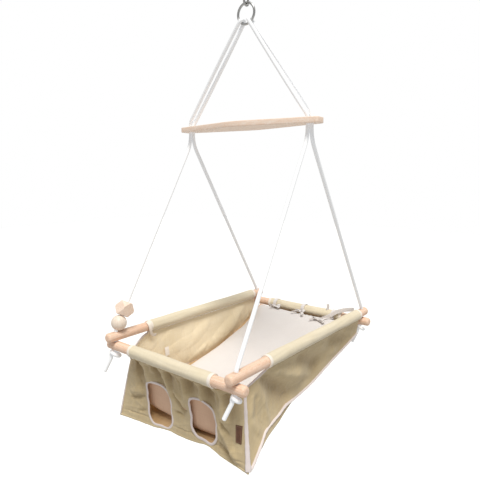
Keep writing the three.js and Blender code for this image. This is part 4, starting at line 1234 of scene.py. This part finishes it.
def settled(points):
    """The sling's own unevenness as a shift of places in the cradle. The lower corner at the
    front left hangs deeper, eased in by a smooth step across and a bell curve along, and
    the cloth bulges out and down in a bell curve round each side seam near the front."""
    x, y, z = points[..., 0], points[..., 1], points[..., 2]
    step = clamp((-x - LEFT_SAG_FROM) / LEFT_SAG_REACH)
    sag = step**2 * (3 - 2 * step) * bell(y - Y_FRONT_EDGE, LEFT_SAG_BACK)
    sag = sag * np.clip(-z / FRONT_DROP, 0, 1.2) ** 2
    run = (y - Y_FRONT_EDGE) / (Y_BACK_EDGE - Y_FRONT_EDGE)
    seam = side_seam(run)
    apart = (np.abs(x) - seam[..., 0]) ** 2 + (z - seam[..., 2]) ** 2
    bulge = np.exp(-apart / (2 * SEAM_BULGE_R**2)) * between(run, 0.01, 0.08, 0.42, 0.17)
    shift = [np.sign(x) * SEAM_BULGE_OUT * bulge, 0 * x, -LEFT_SAG * sag - SEAM_BULGE_DOWN * bulge]
    return points + np.stack(shift, axis=-1)


def front_point(x, z):
    """Point of the front wall behind a place seen from the front, found by repeated steps."""
    across, down = x / X_CORNER, -z / FRONT_DROP
    for _ in range(12):
        point = settled(front_surface(across, down))
        across = across + (x - point[..., 0]) / X_CORNER
        down = down - (z - point[..., 2]) / FRONT_DROP
    return settled(front_surface(across, down))


def leg_hole_outline(side, grow=0.0):
    """A rectangle with round corners, seen from the front, pulled longer by the hanging cloth:
    a quarter circle at each corner."""
    w = LEG_HOLE_WIDTH / 2 + grow
    h = (LEG_HOLE_HEIGHT + LEG_HOLE_PULL[side]) / 2 + grow
    r = LEG_HOLE_R + grow
    points = []
    corners = [(w - r, -h + r, -90), (w - r, h - r, 0), (-w + r, h - r, 90), (-w + r, -h + r, 180)]
    for cx, cz, start in corners:
        a = np.radians(start + np.linspace(0, 90, 9))
        points.append(np.column_stack([cx + r * np.cos(a), cz + r * np.sin(a)]))
    return np.vstack(points) + (side * LEG_HOLE_SPAN / 2, -LEG_HOLE_DROP + LEG_HOLE_RISE[side])


# Sling pieces

def puckers(u, v, amount, count, seed):
    """Small uneven wrinkles: a sum of slanting sines of rising count and falling height."""
    rng = np.random.default_rng(seed)
    height = np.zeros_like(u)
    for k in range(1, 6):
        a, b = rng.uniform(-1, 1) * count * k / 2, rng.uniform(0.2, 1) * count * k / 2
        height += np.sin(2 * np.pi * (a * u + b * v) + rng.uniform(0, 6.3)) / k
    return amount * height


# Folds as (start along, start height, end along, end height, half width, height); a positive
# height stands out of the wall
FRONT_FOLDS = [
    (-135, -16, -127, -118, 10, -6), (-106, -14, -99, -108, 8, 4.5), (-66, -12, -56, -108, 12, -7),
    (-44, -16, -25, -124, 6, 4.5), (-16, -14, -25, -96, 7, -5), (22, -14, 28, -110, 6, 4.5),
    (52, -12, 45, -88, 10, -6), (84, -14, 79, -104, 6, 4.5), (112, -12, 102, -104, 12, -7),
    (150, -24, 148, -118, 7, 5), (168, -30, 174, -126, 8, -4.5), (1, -14, 4, -70, 4, 2.5),
    (-84, -12, -80, -64, 4, 2.5), (66, -12, 61, -62, 4, 2.5), (130, -16, 128, -74, 4, 3),
    (-26, -98, 14, -146, 7, -6), (-14, -92, 22, -130, 7, 4), (-20, -150, 8, -156, 4, -3.5),
    (-180, -158, -116, -136, 6, -4), (-176, -140, -130, -122, 8, 3),
    (-150, -188, -116, -178, 5, -3),
    (122, -118, 192, -198, 8, 7), (134, -118, 158, -150, 6, -6), (108, -172, 172, -202, 7, -5),
    (176, -88, 196, -190, 7, 4), (24, -186, 120, -186, 5, -4),
]


SIDE_FOLDS = [
    (-225, -8, -60, -140, 18, -11), (-190, -14, -20, -78, 14, 7), (-130, -40, 30, -104, 16, 6),
    (-60, -20, 90, -92, 15, -8), (40, -22, 170, -76, 14, 5), (100, -14, 230, -56, 13, -5),
    (-246, -48, -258, -96, 5, 5), (-236, -52, -240, -110, 8, -4), (-262, -100, -222, -150, 7, 4),
    (-205, -60, -190, -150, 10, 5), (200, -16, 262, -44, 8, 4), (-20, -96, 60, -128, 8, -4),
]


def raised_folds(along, height, folds):
    """Sum of ridges: each a bell curve across its line that widens along it, eased to nothing
    by another bell curve at both ends."""
    total = np.zeros_like(along)
    for a0, h0, a1, h1, half, size in folds:
        length = math.hypot(a1 - a0, h1 - h0)
        ua, uh = (a1 - a0) / length, (h1 - h0) / length
        t = ((along - a0) * ua + (height - h0) * uh) / length
        across = (along - a0) * -uh + (height - h0) * ua
        ease = np.exp(-np.clip(np.abs(t - 0.5) - 0.3, 0, None) ** 2 / 0.03)
        total += size * bell(across, half * (1 + 0.5 * clamp(t))) * ease
    return total


def crinkles(along, height, size, seed):
    """Crisp small wrinkles: the cube of one minus the absolute value of slanting sine waves,
    whose angles are warped by slower sines."""
    rng = np.random.default_rng(seed)
    total = np.zeros_like(along)
    for k in range(5):
        turn, length, phase = rng.uniform(0, np.pi), rng.uniform(24, 60), rng.uniform(0, 6.3)
        warp = 0.9 * np.sin(along / 37 + k) + 0.9 * np.sin(height / 29 - 2 * k)
        way = along * np.cos(turn) + height * np.sin(turn)
        total += (1 - np.abs(np.sin(way / length * np.pi + phase + warp))) ** 3
    return size * (total / 5 - 0.25)


def hole_share(x, z, side):
    """0 at a leg hole's edge and 1 from a third of its size beyond it, by the fourth-power
    distance that draws a rounded rectangle."""
    across = (x - side * LEG_HOLE_SPAN / 2) / (LEG_HOLE_WIDTH / 2)
    half = (LEG_HOLE_HEIGHT + LEG_HOLE_PULL[side]) / 2
    down = (z + LEG_HOLE_DROP - LEG_HOLE_RISE[side]) / half
    return clamp(((across**4 + down**4) ** 0.25 - 1) / 0.35)


def front_relief(u, v, places):
    """Folds and crinkles, weaker by the leg holes and none under the label, with the hem's
    stitching and the recess under the sleeve, both bell curves. Dents have a limit, and all
    of it fades at the rim."""
    x, z = places[..., 0], places[..., 2]
    rim = clamp(14 * np.minimum(np.minimum(u, 1 - u), 1 - v)) * clamp(v * 14)
    stitch_up, stitch_half, stitch = HEM_STITCH
    hem = stitch * bell((1 - v) * FRONT_DROP - stitch_up, stitch_half)
    recess_up, recess_half, deep = RECESS
    (label_x, half_x), (label_z, half_z) = LABEL_FLAT
    label = 1 - np.exp(-(((x - label_x) / half_x) ** 4) - ((z - label_z) / half_z) ** 4)
    folds = raised_folds(x, z, FRONT_FOLDS) * mix(*FOLD_GAIN, clamp((z + 110) / 50))
    uneven = (folds + crinkles(x, z, FRONT_CRINKLE, 4)) * label
    holes = np.minimum(*(hole_share(x, z, side) for side in (-1, 1)))
    height = (uneven * mix(0.3, 1, holes) + deep * bell(z - recess_up, recess_half) + hem) * rim
    return np.maximum(height, mix(*DENT_LIMIT, clamp((z + 90) / 22)))


def front_panel(linen, pale):
    """The front wall with its leg holes, cut out by straight prisms. The area of its sheet is
    width times drop and 1 % more, as the wall isn't cut square, less both rounded holes."""
    margin = (PIPING_D / 2) / X_CORNER
    def shape(u, v):
        across, down = mix(-1 + margin, 1 - margin, u), v * (1 - PIPING_D / 2 / FRONT_DROP)
        return settled(front_surface(across, down)) + CRADLE
    piece = cloth("front_panel_linen", shape, 281, 141, linen, front_relief, lining=pale,
                  outward=-1)
    tools = []
    for side in (-1, 1):
        outline = leg_hole_outline(side, LEG_TRIM_D / 4)
        ring = np.column_stack([outline[:, 0], 0 * outline[:, 0], outline[:, 1]])
        points = np.stack([ring + (0, y, 0) for y in (-Y_HOLE - 20, -Y_HOLE + CORNER_BACK + 60)])
        tools.append(surface("leg_cut", points + CRADLE, linen))
    cut_by(piece, *tools)
    piece.data.set_sharp_from_angle(angle=math.radians(50))
    dress(piece, "cradle", "linen", "front_panel")


def side_panel(side_name, linen, pale):
    """A side wall, whose relief is folds and crinkles that fade at its rim; the left wall's
    folds are weaker and mirrored. Its lining faces inwards. The area of its sheet is 71 % of
    length times drop, as the wall narrows to the back."""
    side = SIDES[side_name]
    long = CRADLE_LENGTH - CORNER_BACK
    margin = PIPING_D / 2 / long
    def shape(u, v):
        down = v * (1 - TOUCH / mix(FRONT_DROP, BACK_DROP, u**0.5))
        return settled(side_surface(mix(margin, 1 - margin, u), down) * (side, 1, 1)) + CRADLE
    def relief(u, v, places):
        y, z = places[..., 1], places[..., 2]
        rim = clamp(14 * np.minimum(u, 1 - u)) * clamp(5 * (0.98 - v)) * clamp(v * 9)
        gain = 1.0 if side > 0 else 0.45
        folds = gain * raised_folds(side * y, z, SIDE_FOLDS)
        return (1.05 * folds + crinkles(y, z, SIDE_CRINKLE, 11 + side)) * rim
    outer, inner = (linen, pale) if side > 0 else (pale, linen)
    piece = cloth("side_panel_" + side_name + "_linen", shape, 341, 91, outer, relief,
                  lining=inner, outward=-side)
    dress(piece, "cradle", "linen", "side_panel_" + side_name)


def floor_panel(linen, warm):
    """The floor, whose relief is small puckers that fade at its rim."""
    margin = 1.5 * TOUCH / X_HOLE
    def shape(u, v):
        across, back = mix(-1 + margin, 1 - margin, u), mix(PIPING_D / 2 / CRADLE_LENGTH, 1, v)
        return settled(floor_or_back_wall(across, back)) + CRADLE
    def relief(u, v, places):
        rim = clamp(10 * np.minimum(np.minimum(u, 1 - u), np.minimum(v, 1 - v)))
        return puckers(u, v, 0.8, 3, 21) * rim
    # Painted light: the floor's inner side is the warm tan canvas, for light thrown between the
    # cloths.
    piece = cloth("floor_panel_linen", shape, 161, 201, linen, relief, lining=warm)
    dress(piece, "cradle", "linen", "floor_panel")


def sleeve_tail(turn, half):
    """Height of the stitched tail under a sleeve: a bell curve of the angle from straight down."""
    return (SLEEVE_HEM + 0.6) * bell(wrapped(turn + np.pi / 2), half)


def round_dowel(s, r, a, place, axis):
    """Points at running lengths, radii and angles round a dowel."""
    across, up = r * np.cos(a), r * np.sin(a)
    parts = {"X": (s, across, up), "Y": (across, s, up)}[axis]
    return np.stack(parts, axis=-1) + place + CRADLE


def sleeve(name, length, place, axis, linen, hem, seed):
    """A cloth tube round a dowel: a circle with a narrow stitched tail below it, slack in a
    slow twisting sine of two waves round it with one long wandering crease, softly puckered,
    gathered along the tail by a fast sine, open at both ends, where a doubled hem lies
    round it."""
    long = np.linspace(-length / 2, length / 2, max(40, int(length / 2.5)))
    s, a = np.meshgrid(long, circle(SLEEVE_SIDES), indexing="ij")
    wrinkle = puckers(s / length, a / (2 * np.pi), 0.16, 5, seed)
    wrinkle = wrinkle * np.abs(np.sin(a / 2 + np.pi / 4))
    wrinkle = wrinkle + crinkles(s * 0.45, a * SLEEVE_D / 2, 1.5, seed)
    gather = 0.5 * np.sin(2 * np.pi * s / 17 + 2 * np.sin(s / 31))
    gather = gather * bell(wrapped(a + np.pi / 2), 0.9)
    off_crease = wrapped(a - SLEEVE_CREASE[axis] - 0.3 * np.sin(s / 52 + seed))
    slack = 0.45 * np.sin(2 * a + 1.2 * np.sin(s / 46 + seed) + s / 75)
    slack = slack - 0.9 * bell(off_crease, 0.22) * (0.7 + 0.3 * np.sin(s / 23 + seed))
    outer = SLEEVE_D / 2 - 0.2 + sleeve_tail(a, 0.15) + wrinkle * 0.7 + gather * 0.8 + slack
    inner = np.full_like(outer, DOWEL_R + TOUCH)
    r, s, a = (np.concatenate(pair) for pair in ((outer, inner), (s, s[::-1]), (a, a)))
    points = round_dowel(s, r, a, place, axis)
    piece = surface("sleeve_" + name + "_linen", points, linen, loop_rows=True, sharp=60)
    dress(piece, "cradle", "linen", "sleeve_" + name)
    for sign in (-1, 1):
        sleeve_hem(f"hem_{name}_{'ab'[sign > 0]}", sign * (length / 2 + 0.6), place, axis, hem)


def sleeve_hem(name, at, place, axis, hem):
    """A doubled hem round a sleeve's end: a low band, raised by a power of a sine along it."""
    t = np.linspace(0, 1, 9)
    along = at - np.sign(at) * HEM_WIDTH * t
    outer = SLEEVE_D / 2 - 0.3 + HEM_LIFT * np.sin(np.pi * t) ** 0.4
    r = np.concatenate([outer, np.full(9, DOWEL_R + 0.35)])[:, None]
    turn = circle(SLEEVE_SIDES)
    r = r + sleeve_tail(turn, 0.17) * (np.arange(18) < 9)[:, None]
    s = np.concatenate([along, along[::-1]])[:, None] + 0 * turn
    points = round_dowel(s, r, turn, place, axis)
    piece = surface(name, points, hem, loop_rows=True, sharp=60)
    dress(piece, "cradle", "linen")


def left_sleeve_trim(hem):
    """What is sewn to the left sleeve: a pale hem line along its inner foot, and the free end
    of a tape that curls off its front end."""
    foot = math.radians(-70)
    reach = SLEEVE_D / 2 + 0.5
    y = np.linspace(-Y_HOLE + SIDE_SLEEVE_FRONT + 4, Y_HOLE - SIDE_SLEEVE_BACK - 4, 200)
    wander = 0.25 * np.sin(y / 9)
    line = np.column_stack([0 * y - X_HOLE + reach * math.cos(foot), y,
                            Z_DOWEL + reach * math.sin(foot) + wander])
    dress(swept("sleeve_left_hem_line", line + CRADLE, 1.0, hem, sides=12), "cradle", "linen")
    start = np.array([-X_HOLE, -Y_HOLE + SIDE_SLEEVE_FRONT, Z_DOWEL])
    curl = start + row([(6, -7, 15.5), (15, -6.5, 8), (17.6, -5, -4), (15.5, -1, -15), (13, 7, -24),
                        (12, 19, -27)])
    tape = ribbon("sleeve_left_tape_end", evenly(smooth_line(curl, 10), 1.5) + CRADLE,
                  (0.1, 1.0, 0.25), 8.0, 1.3, hem)
    dress(tape, "cradle", "linen")


def blank_tag(hem):
    """A small blank cloth tag, sewn by its upper edge to the inside of the left wall, which
    stands off a little more towards its lower edge."""
    near, more = TAG_OFF_WALL
    def shape(u, v):
        along = mix(0.208, 0.233, u) + 0.006 * v
        wall = settled(side_surface(along, mix(0.37, 0.55, v)) * (-1, 1, 1))
        return wall + np.stack([near + more * v, 0 * u, 0 * u], axis=-1) + CRADLE
    dress(cloth("side_wall_tag", shape, 9, 17, hem, thickness=0.8), "cradle", "linen")


# Bindings

def oval(half, thick, flare=0.0):
    """Radius of a folded tape's section: an ellipse, slightly uneven, that may widen towards
    the end of its run by a share."""
    def radius(turn, run):
        wide = 1 + 0.07 * np.sin(run / 6.1) + 0.05 * np.sin(run / 2.3)
        wide = half * (wide + flare * (run / run[-1]) ** 3)
        deep = thick * (1 + 0.08 * np.sin(run / 3.7 + 1))
        return 1 / np.sqrt((np.cos(turn) / wide) ** 2 + (np.sin(turn) / deep) ** 2)
    return radius


def binding(name, path, material, radius, first, *nodes, closed=False, slot="binding"):
    """Folded tape over a raw edge; first points along its width."""
    path = path if closed else evenly(path, 1.5)
    piece = swept(name, path, radius, material, sides=20, closed=closed, first=first)
    dress(piece, "cradle", slot, *nodes)


def leg_hole_edge(side):
    """A leg hole's outline on the wall, made wavy by two sines of the angle round its middle."""
    outline = leg_hole_outline(side)
    flat = np.column_stack([outline, 0 * outline[:, 0]])
    outline = evenly(flat[np.r_[0 : len(outline), 0]], 1.5)[:-1, :2]
    out = outline - outline.mean(axis=0)
    turn = np.arctan2(out[:, 1], out[:, 0])[:, None]
    wavy = outline + unit(out) * (0.9 * np.sin(5 * turn + side) + 0.6 * np.sin(9 * turn))
    return front_point(wavy[:, 0], wavy[:, 1]) + CRADLE


def bindings(tape, linen):
    """Tapes along the sling's seams and cut edges, each on the line of its edge, and the
    rolled hem of the front wall."""
    level = (0.0, 0.0, 1.0)
    for name, side in SIDES.items():
        mirror = np.array([side, 1, 1])
        corner = settled(corner_seam(np.linspace(0, 0.985, 30)) * mirror) + CRADLE
        binding("corner_binding_" + name, corner, tape, oval(3.9, 1.9, 0.8), (side * 0.8, 0.6, 0.1),
                "corner_piping_" + name)
        seam = settled(bound_seam(np.linspace(0.012, 1, 90)) * mirror) + (side * 1.8, 0, 0) + CRADLE
        binding("side_binding_" + name, seam, tape, oval(3.6, 1.9), (side * 0.8, 0.0, -0.6),
                "side_piping_" + name)
        binding("leg_hole_binding_" + name, leg_hole_edge(side), tape, oval(1.9, 3.4),
                (0.0, 1.0, 0.0), "leg_hole_trim_" + name, closed=True)
        share = np.linspace(FRONT_SLEEVE_LENGTH / 2 / X_CORNER, 1, 24)
        wing = front_surface(share * side, 0 * share) + CRADLE
        binding("front_wing_hem_" + name, wing, linen, oval(3.2, 1.7), level, slot="linen")
        along = np.linspace(0, (SIDE_SLEEVE_FRONT - CORNER_BACK) / (Y_BACK_EDGE - Y_CORNER), 24)
        cut = side_surface(along, 0 * along) * mirror + CRADLE
        binding("side_wing_binding_" + name, cut, tape, oval(3.0, 1.7), level)
    lower = settled(front_edge(np.linspace(-1, 1, 120))) + CRADLE
    binding("front_hem", lower, linen, oval(3.0, 2.2), level, "front_piping", slot="linen")


# Pad, ties and label

PAD_TURN = math.pi / 2 - PAD_LEAN
PAD_BEND_RUN = PAD_TURN * PAD_TURN_R
PAD_Y_BEND = Y_FRONT_EDGE + PAD_FRONT_GAP + PAD_T / 3 + PAD_TURN_R * math.sin(PAD_TURN)
PAD_RUN = PAD_TURN_UP + PAD_BEND_RUN + Y_HOLE - PAD_BACK_GAP - PAD_Y_BEND


def pad_line(x, t):
    """Middle of the pad and its upward direction: t runs back along the floor, and below zero
    up round the bend of the turned-up front end and along its straight run."""
    y = PAD_Y_BEND + np.maximum(t, 0)
    climb = clamp((y - Y_HOLE + PAD_BACK_GAP + PAD_LIFT_RUN) / PAD_LIFT_RUN)
    z = floor_height(x, y) + CLOTH_T / 2 + PAD_CLEAR + PAD_T / 3 + PAD_LIFT * climb**2
    angle = np.clip(-t / PAD_TURN_R, 0, PAD_TURN)
    beyond = np.maximum(0, -t - PAD_BEND_RUN)
    y = y - PAD_TURN_R * np.sin(angle) - beyond * np.cos(angle)
    z = z + PAD_TURN_R * (1 - np.cos(angle)) + beyond * np.sin(angle)
    return np.stack([x, y, z], axis=-1), np.stack([0 * x, np.sin(angle), np.cos(angle)], axis=-1)


def pad_surface(level):
    """Upper or lower side of the pad, at level 1 or -1: two thirds of its thickness over its
    middle line and one third under it, thinned to the rim by the root of one minus an eighth
    power each way, with its sides drawn in between the corners by parabolas."""
    def shape(u, v):
        across, along = 2 * u - 1, 2 * v - 1
        drawn = v * PAD_RUN - np.sign(along) * PAD_DRAW_IN * (1 - across**2) * along**6
        x = across * (PAD_WIDTH / 2 - PAD_DRAW_IN * (1 - along**2) * across**6)
        middle, up = pad_line(x, drawn - PAD_TURN_UP - PAD_BEND_RUN)
        full = np.sqrt(np.clip((1 - across**8) * (1 - along**8), 0, None))
        soft = 1 + 0.05 * puckers(u, v, 1.0, 3, 31) * (level > 0)
        return middle + up * (full * soft * (2 * PAD_T / 3 if level > 0 else -PAD_T / 3))[..., None]
    return shape


def eased(count):
    """Shares from 0 to 1 that crowd together at both ends, by a half wave of the cosine."""
    return (1 - np.cos(np.linspace(0, np.pi, count))) / 2


def simulated_fill(piece, upper):
    """Cloth simulation of the filling: an evenly remeshed copy is blown up for 20 frames, and
    each point of the piece takes the inverse-distance mean of the moves of the copy's four
    nearest points, none of them over FILL_REACH. The points after the upper ones lie on the
    floor, which lets them move far less."""
    copy = new_object("filling", piece.data.copy())
    even = copy.modifiers.new("even", "REMESH")
    even.mode, even.voxel_size = "VOXEL", FILL_VOXEL * MM
    copy.data = finished_mesh(copy)
    copy.modifiers.clear()
    rest = mesh_points(copy.data)
    fill = copy.modifiers.new("fill", "CLOTH")
    fill.settings.use_pressure = True
    fill.settings.uniform_pressure_force = FILL_PRESSURE
    fill.settings.effector_weights.gravity = 0.0
    fill.point_cache.frame_start, fill.point_cache.frame_end = 1, FILL_FRAMES
    scene = bpy.context.scene
    for number in range(1, FILL_FRAMES + 1):
        scene.frame_set(number)
    blown = mesh_points(copy.evaluated_get(bpy.context.evaluated_depsgraph_get()).data)
    scene.frame_set(1)
    move = blown - rest
    far = np.linalg.norm(move, axis=1, keepdims=True)
    move *= np.minimum(1, FILL_REACH / np.maximum(far, 1e-6))
    bpy.data.objects.remove(copy)
    places = mesh_points(piece.data)
    moved = np.empty_like(places)
    for start in range(0, len(places), 1000):
        some = places[start : start + 1000]
        apart = (some**2).sum(axis=1)[:, None] - 2 * some @ rest.T + (rest**2).sum(axis=1)
        near = np.argpartition(apart, 4, axis=1)[:, :4]
        weight = 1 / (np.take_along_axis(apart, near, axis=1).clip(0) + 1.0)
        mean = (move[near] * weight[..., None]).sum(axis=1) / weight.sum(axis=1)[:, None]
        moved[start : start + 1000] = mean
    moved[upper:] *= FILL_UNDER
    place_points(piece.data, places + moved)
    piece.data.update()


def mattress_pad(cotton, painted_shade_underside):
    """A crowned wadded pad, with corners eased and its sides drawn in between them. Its
    turned-up end shows its underside, coloured in a painted warm shade, to the leg holes."""
    rows, columns = 101, 141
    u, v = np.meshgrid(eased(rows), eased(columns), indexing="ij")
    top, bottom = pad_surface(1)(u, v) + CRADLE, pad_surface(-1)(u, v) + CRADLE
    quads, i, j = grid_quads(rows, columns)
    uv = length_map(top, i, j)
    count = rows * columns
    line = np.arange(count).reshape(rows, columns)
    under = line + count
    under[0], under[-1], under[:, 0], under[:, -1] = line[0], line[-1], line[:, 0], line[:, -1]
    below = under.reshape(-1)[quads]
    points = np.concatenate([top.reshape(-1, 3), bottom.reshape(-1, 3)])
    used, again = np.unique(np.concatenate([quads, below]).ravel(), return_inverse=True)
    every = again.reshape(-1, 4)
    every[len(quads) :] = every[len(quads) :, ::-1]
    both_uv = np.concatenate([uv, uv[:, ::-1]])
    piece = add_mesh("mattress_pad_cotton", points[used], every, both_uv, cotton)
    # Painted shade: the underside is coloured warm brown where the leg holes show it.
    piece.data.materials.append(painted_shade_underside)
    backed = (np.arange(len(every)) >= len(quads)).astype(np.int32)
    piece.data.polygons.foreach_set("material_index", backed)
    simulated_fill(piece, count)
    rim = grid_rim(line)
    edge = evenly(mesh_points(piece.data)[np.r_[rim, rim[:1]]], 3.0)[:-1]
    welt = swept("pad_welt", edge, PAD_WELT_R, cotton, sides=10, closed=True)
    joined(piece, welt)
    dress(piece, "cradle", "pad", "mattress_pad")


def ribbon(name, path, across, width, thick, material):
    """A flat tape along a path, slightly cupped; across gives the direction of its width, made
    square to the path."""
    path = row(path)
    along = unit(np.gradient(path, axis=0))
    across = np.broadcast_to(np.array(across, dtype=float), path.shape)
    across = unit(across - along * (across * along).sum(axis=1, keepdims=True))
    out = np.cross(along, across)
    section = [(-1, -1), (0, -1), (1, -1), (1, 1), (0, 1), (-1, 1)]
    cup = 0.075 * width / 2
    points = np.stack([path + across * p * width / 2 + out * (q * thick / 2 + cup * (p == 0))
                       for p, q in section], axis=1)
    return surface(name, points, material, sharp=40)


# Each bow's step along the sleeve, how far back on the pad it lies, and its size
BOWS = {"left": (17, 0.983, 0.62), "middle": (7, 0.986, 0.62), "right": (-27, 0.95, 0.9)}


def pad_tie(name, x, cotton, seed):
    """A tape tied over the back sleeve: a flat band round it in an arc, and a bow on the pad's
    far edge whose loops are teardrops, r = sin(t), and whose tails droop along smooth lines."""
    rng = np.random.default_rng(seed)
    r = SLEEVE_D / 2 + TOUCH + TIE_T / 2 + 0.6
    a = np.linspace(-0.15 * np.pi, 1.06 * np.pi, 40)
    band = np.column_stack([0 * a + x, Y_HOLE + r * np.cos(a), -Z_DOWEL + r * np.sin(a)])
    band = evenly(np.vstack([band, band[-1] + (0, -TIE_T, -6.0)]), 1.5) + CRADLE
    def tape(part, path, across, width, thick=TIE_T):
        return ribbon(part, path, across, TIE_WIDTH * width, thick, cotton)
    piece = tape("pad_tie_" + name + "_cotton", band, (1.0, 0, 0), 1)
    step, back, size = BOWS[name]
    share = ((x + step) / (PAD_WIDTH / 2) + 1) / 2
    knot = pad_surface(1)(np.array([share]), np.array([back]))[0] + CRADLE + (0, 0, 5.0)
    lead = smooth_line([band[-1] + (0, 0, 2), mix(band[-1], knot, 0.5) + (2, 0, 4), knot], 10)
    parts = [tape("lead", lead, (1.0, 0, 0), 0.8)]
    for side in (-1, 1):
        reach, height = rng.uniform(20, 27) * size, rng.uniform(7, 11)
        slant = rng.uniform(-0.5, 0.3)
        t = np.linspace(0, np.pi, 25)
        out = reach * np.sin(t)
        rise = 1.0 + height * (1 - np.cos(t)) / 2 * np.sin(t) ** 0.6
        loop = knot + np.column_stack([side * out, out * slant, rise])
        parts.append(tape("loop", loop, (0.2, 1.0, 0.3 * side), 0.75))
        fall, sway = rng.uniform(26, 40) * size, rng.uniform(-8, 8)
        tail = [(0, 0, 1.0), (side * fall * 0.4, -5, 4.0), (side * fall * 0.75, -12 + sway, 2.6),
                (side * fall, -16 + sway, 1.6)]
        parts.append(tape("tail", knot + smooth_line(tail, 10), (0.2, 1.0, 0.4 * side), 0.75))
    if name == "right":
        run = [knot - CRADLE + (3, 0, 1), (x - 4, 283, -10), (x + 18, 289, 5), (x + 38, 294, 13),
               (x + 56, 295, 18), (x + 72, 293, 21)]
        parts.append(tape("over", smooth_line(run, 10) + CRADLE, (0.2, 0.25, 0.9), 1))
        back, up = Y_HOLE - 5, -Z_DOWEL + SLEEVE_D / 2 - 1.6
        tab = [(x - 22, back, up), (x - 21, back + 1, up + 10), (x - 22, back + 1, up + 19)]
        parts.append(tape("tab", smooth_line(tab, 8) + CRADLE, (1.0, 0.4, 0.0), 0.7, TIE_T * 1.6))
    a = circle(16)
    wrap = [np.column_stack([k + 0 * a, 3.4 * np.cos(a) * h, 1.5 + 3.2 * np.sin(a) * h])
            for k, h in ((-4, 0.55), (-3, 0.95), (0, 1.05), (3, 0.95), (4, 0.55))]
    parts.append(surface("bow_knot", np.stack(wrap) + knot, cotton, sharp=60))
    dress(joined(piece, *parts), "cradle", "pad", "pad_tie_" + name)


def leather_label(leather):
    """A small blank leather patch with square corners, following the wall, with a border that
    stands up in a bell curve of the distance from its edge."""
    share = (LABEL_DROP + LABEL_HEIGHT / 2 - CORNER_DOWN) / (FRONT_DROP - CORNER_DOWN)
    x_right = corner_seam(share)[0] - LABEL_GAP - PIPING_D / 2
    off_wall = CLOTH_T / 2 + TOUCH + LABEL_T / 2
    def shape(u, v):
        x = mix(x_right - LABEL_WIDTH, x_right, u)
        z = -mix(LABEL_DROP, LABEL_DROP + LABEL_HEIGHT, v)
        return front_point(x, z) - (0, off_wall, 0) + CRADLE
    def relief(u, v, places):
        inset, half, height = LABEL_BORDER
        edge = np.minimum(np.minimum(u, 1 - u) * LABEL_WIDTH, np.minimum(v, 1 - v) * LABEL_HEIGHT)
        return height * bell(edge - inset, half)
    piece = cloth("label_leather", shape, 41, 81, leather, relief, thickness=LABEL_T)
    dress(piece, "cradle", "leather", "label_blank")


# Making it all

photo_camera()
studio()

cotton_rope = braided_cotton()
for side_name in SIDES:
    rope, route = bridle_rope(side_name, cotton_rope)
    for end_name in ENDS:
        knot = end_knot(side_name, end_name, cotton_rope)
        rope, route = lower_rope(side_name, end_name, cotton_rope)

steel = zinc_steel()
screw_hook(steel)
hanging_ring(steel)

wood_x = beech("sanded_beech_along_x", "#F5D9C4", "#E2B99A", "X")
# Painted light: the board is a lighter copy of the dowels' beech, for the light on its faces.
bar_wood = beech("sanded_beech_board", "#FFF0E4", "#F5D8BF", "X")
wood_y = beech("sanded_beech_along_y", "#F5D9C4", "#E2B99A", "Y")
pale_wood = beech("pale_beech_ball", "#F3E7DA", "#E2CFBB", "Z", roughness=0.4)
spreader_bar(bar_wood, beech("painted_light_beech_edge", "#FFEEDF", "#F6D5BC", "X"))
for end_name, end in ENDS.items():
    dowel("dowel_" + end_name, CRADLE_WIDTH, CRADLE + (0, end * Y_HOLE, -Z_DOWEL), "X", wood_x)
for side_name, side in SIDES.items():
    dowel("dowel_" + side_name, CRADLE_LENGTH, CRADLE + (side * X_HOLE, 0, Z_DOWEL), "Y", wood_y)
round_and_faceted_beads(pale_wood, beech("sanded_beech_bead", "#F8E4D4", "#E9CDB6", "X"))

# Painted light and shade: these are copies of one cloth, darker outside the walls, lighter on the
# sleeves and inside.
linen, pale, lining = linen_canvas(), pale_canvas(), lining_canvas()
hem, tape = hem_canvas(), bias_binding()
sleeve("front", FRONT_SLEEVE_LENGTH, (0, -Y_HOLE, -Z_DOWEL), "X", pale, hem, 1)
sleeve("back", BACK_SLEEVE_SEEN, (0, Y_HOLE, -Z_DOWEL), "X", pale, hem, 2)
side_length = CRADLE_LENGTH - SIDE_SLEEVE_FRONT - SIDE_SLEEVE_BACK
side_middle = (SIDE_SLEEVE_FRONT - SIDE_SLEEVE_BACK) / 2
for side_name, side in SIDES.items():
    sleeve(side_name, side_length, (side * X_HOLE, side_middle, Z_DOWEL), "Y", pale, hem, 3 + side)
    side_panel(side_name, linen, lining)
front_panel(linen, lining)
floor_panel(linen, painted_glow_canvas())
bindings(tape, linen)

cotton = pad_cotton()
mattress_pad(cotton, painted_shade_backing())
for seed, (tie_name, share) in enumerate({"left": -1, "middle": 0, "right": 1}.items()):
    pad_tie(tie_name, share * TIE_STEP, cotton, seed)
leather_label(vegetable_leather())
left_sleeve_trim(hem)
blank_tag(hem)
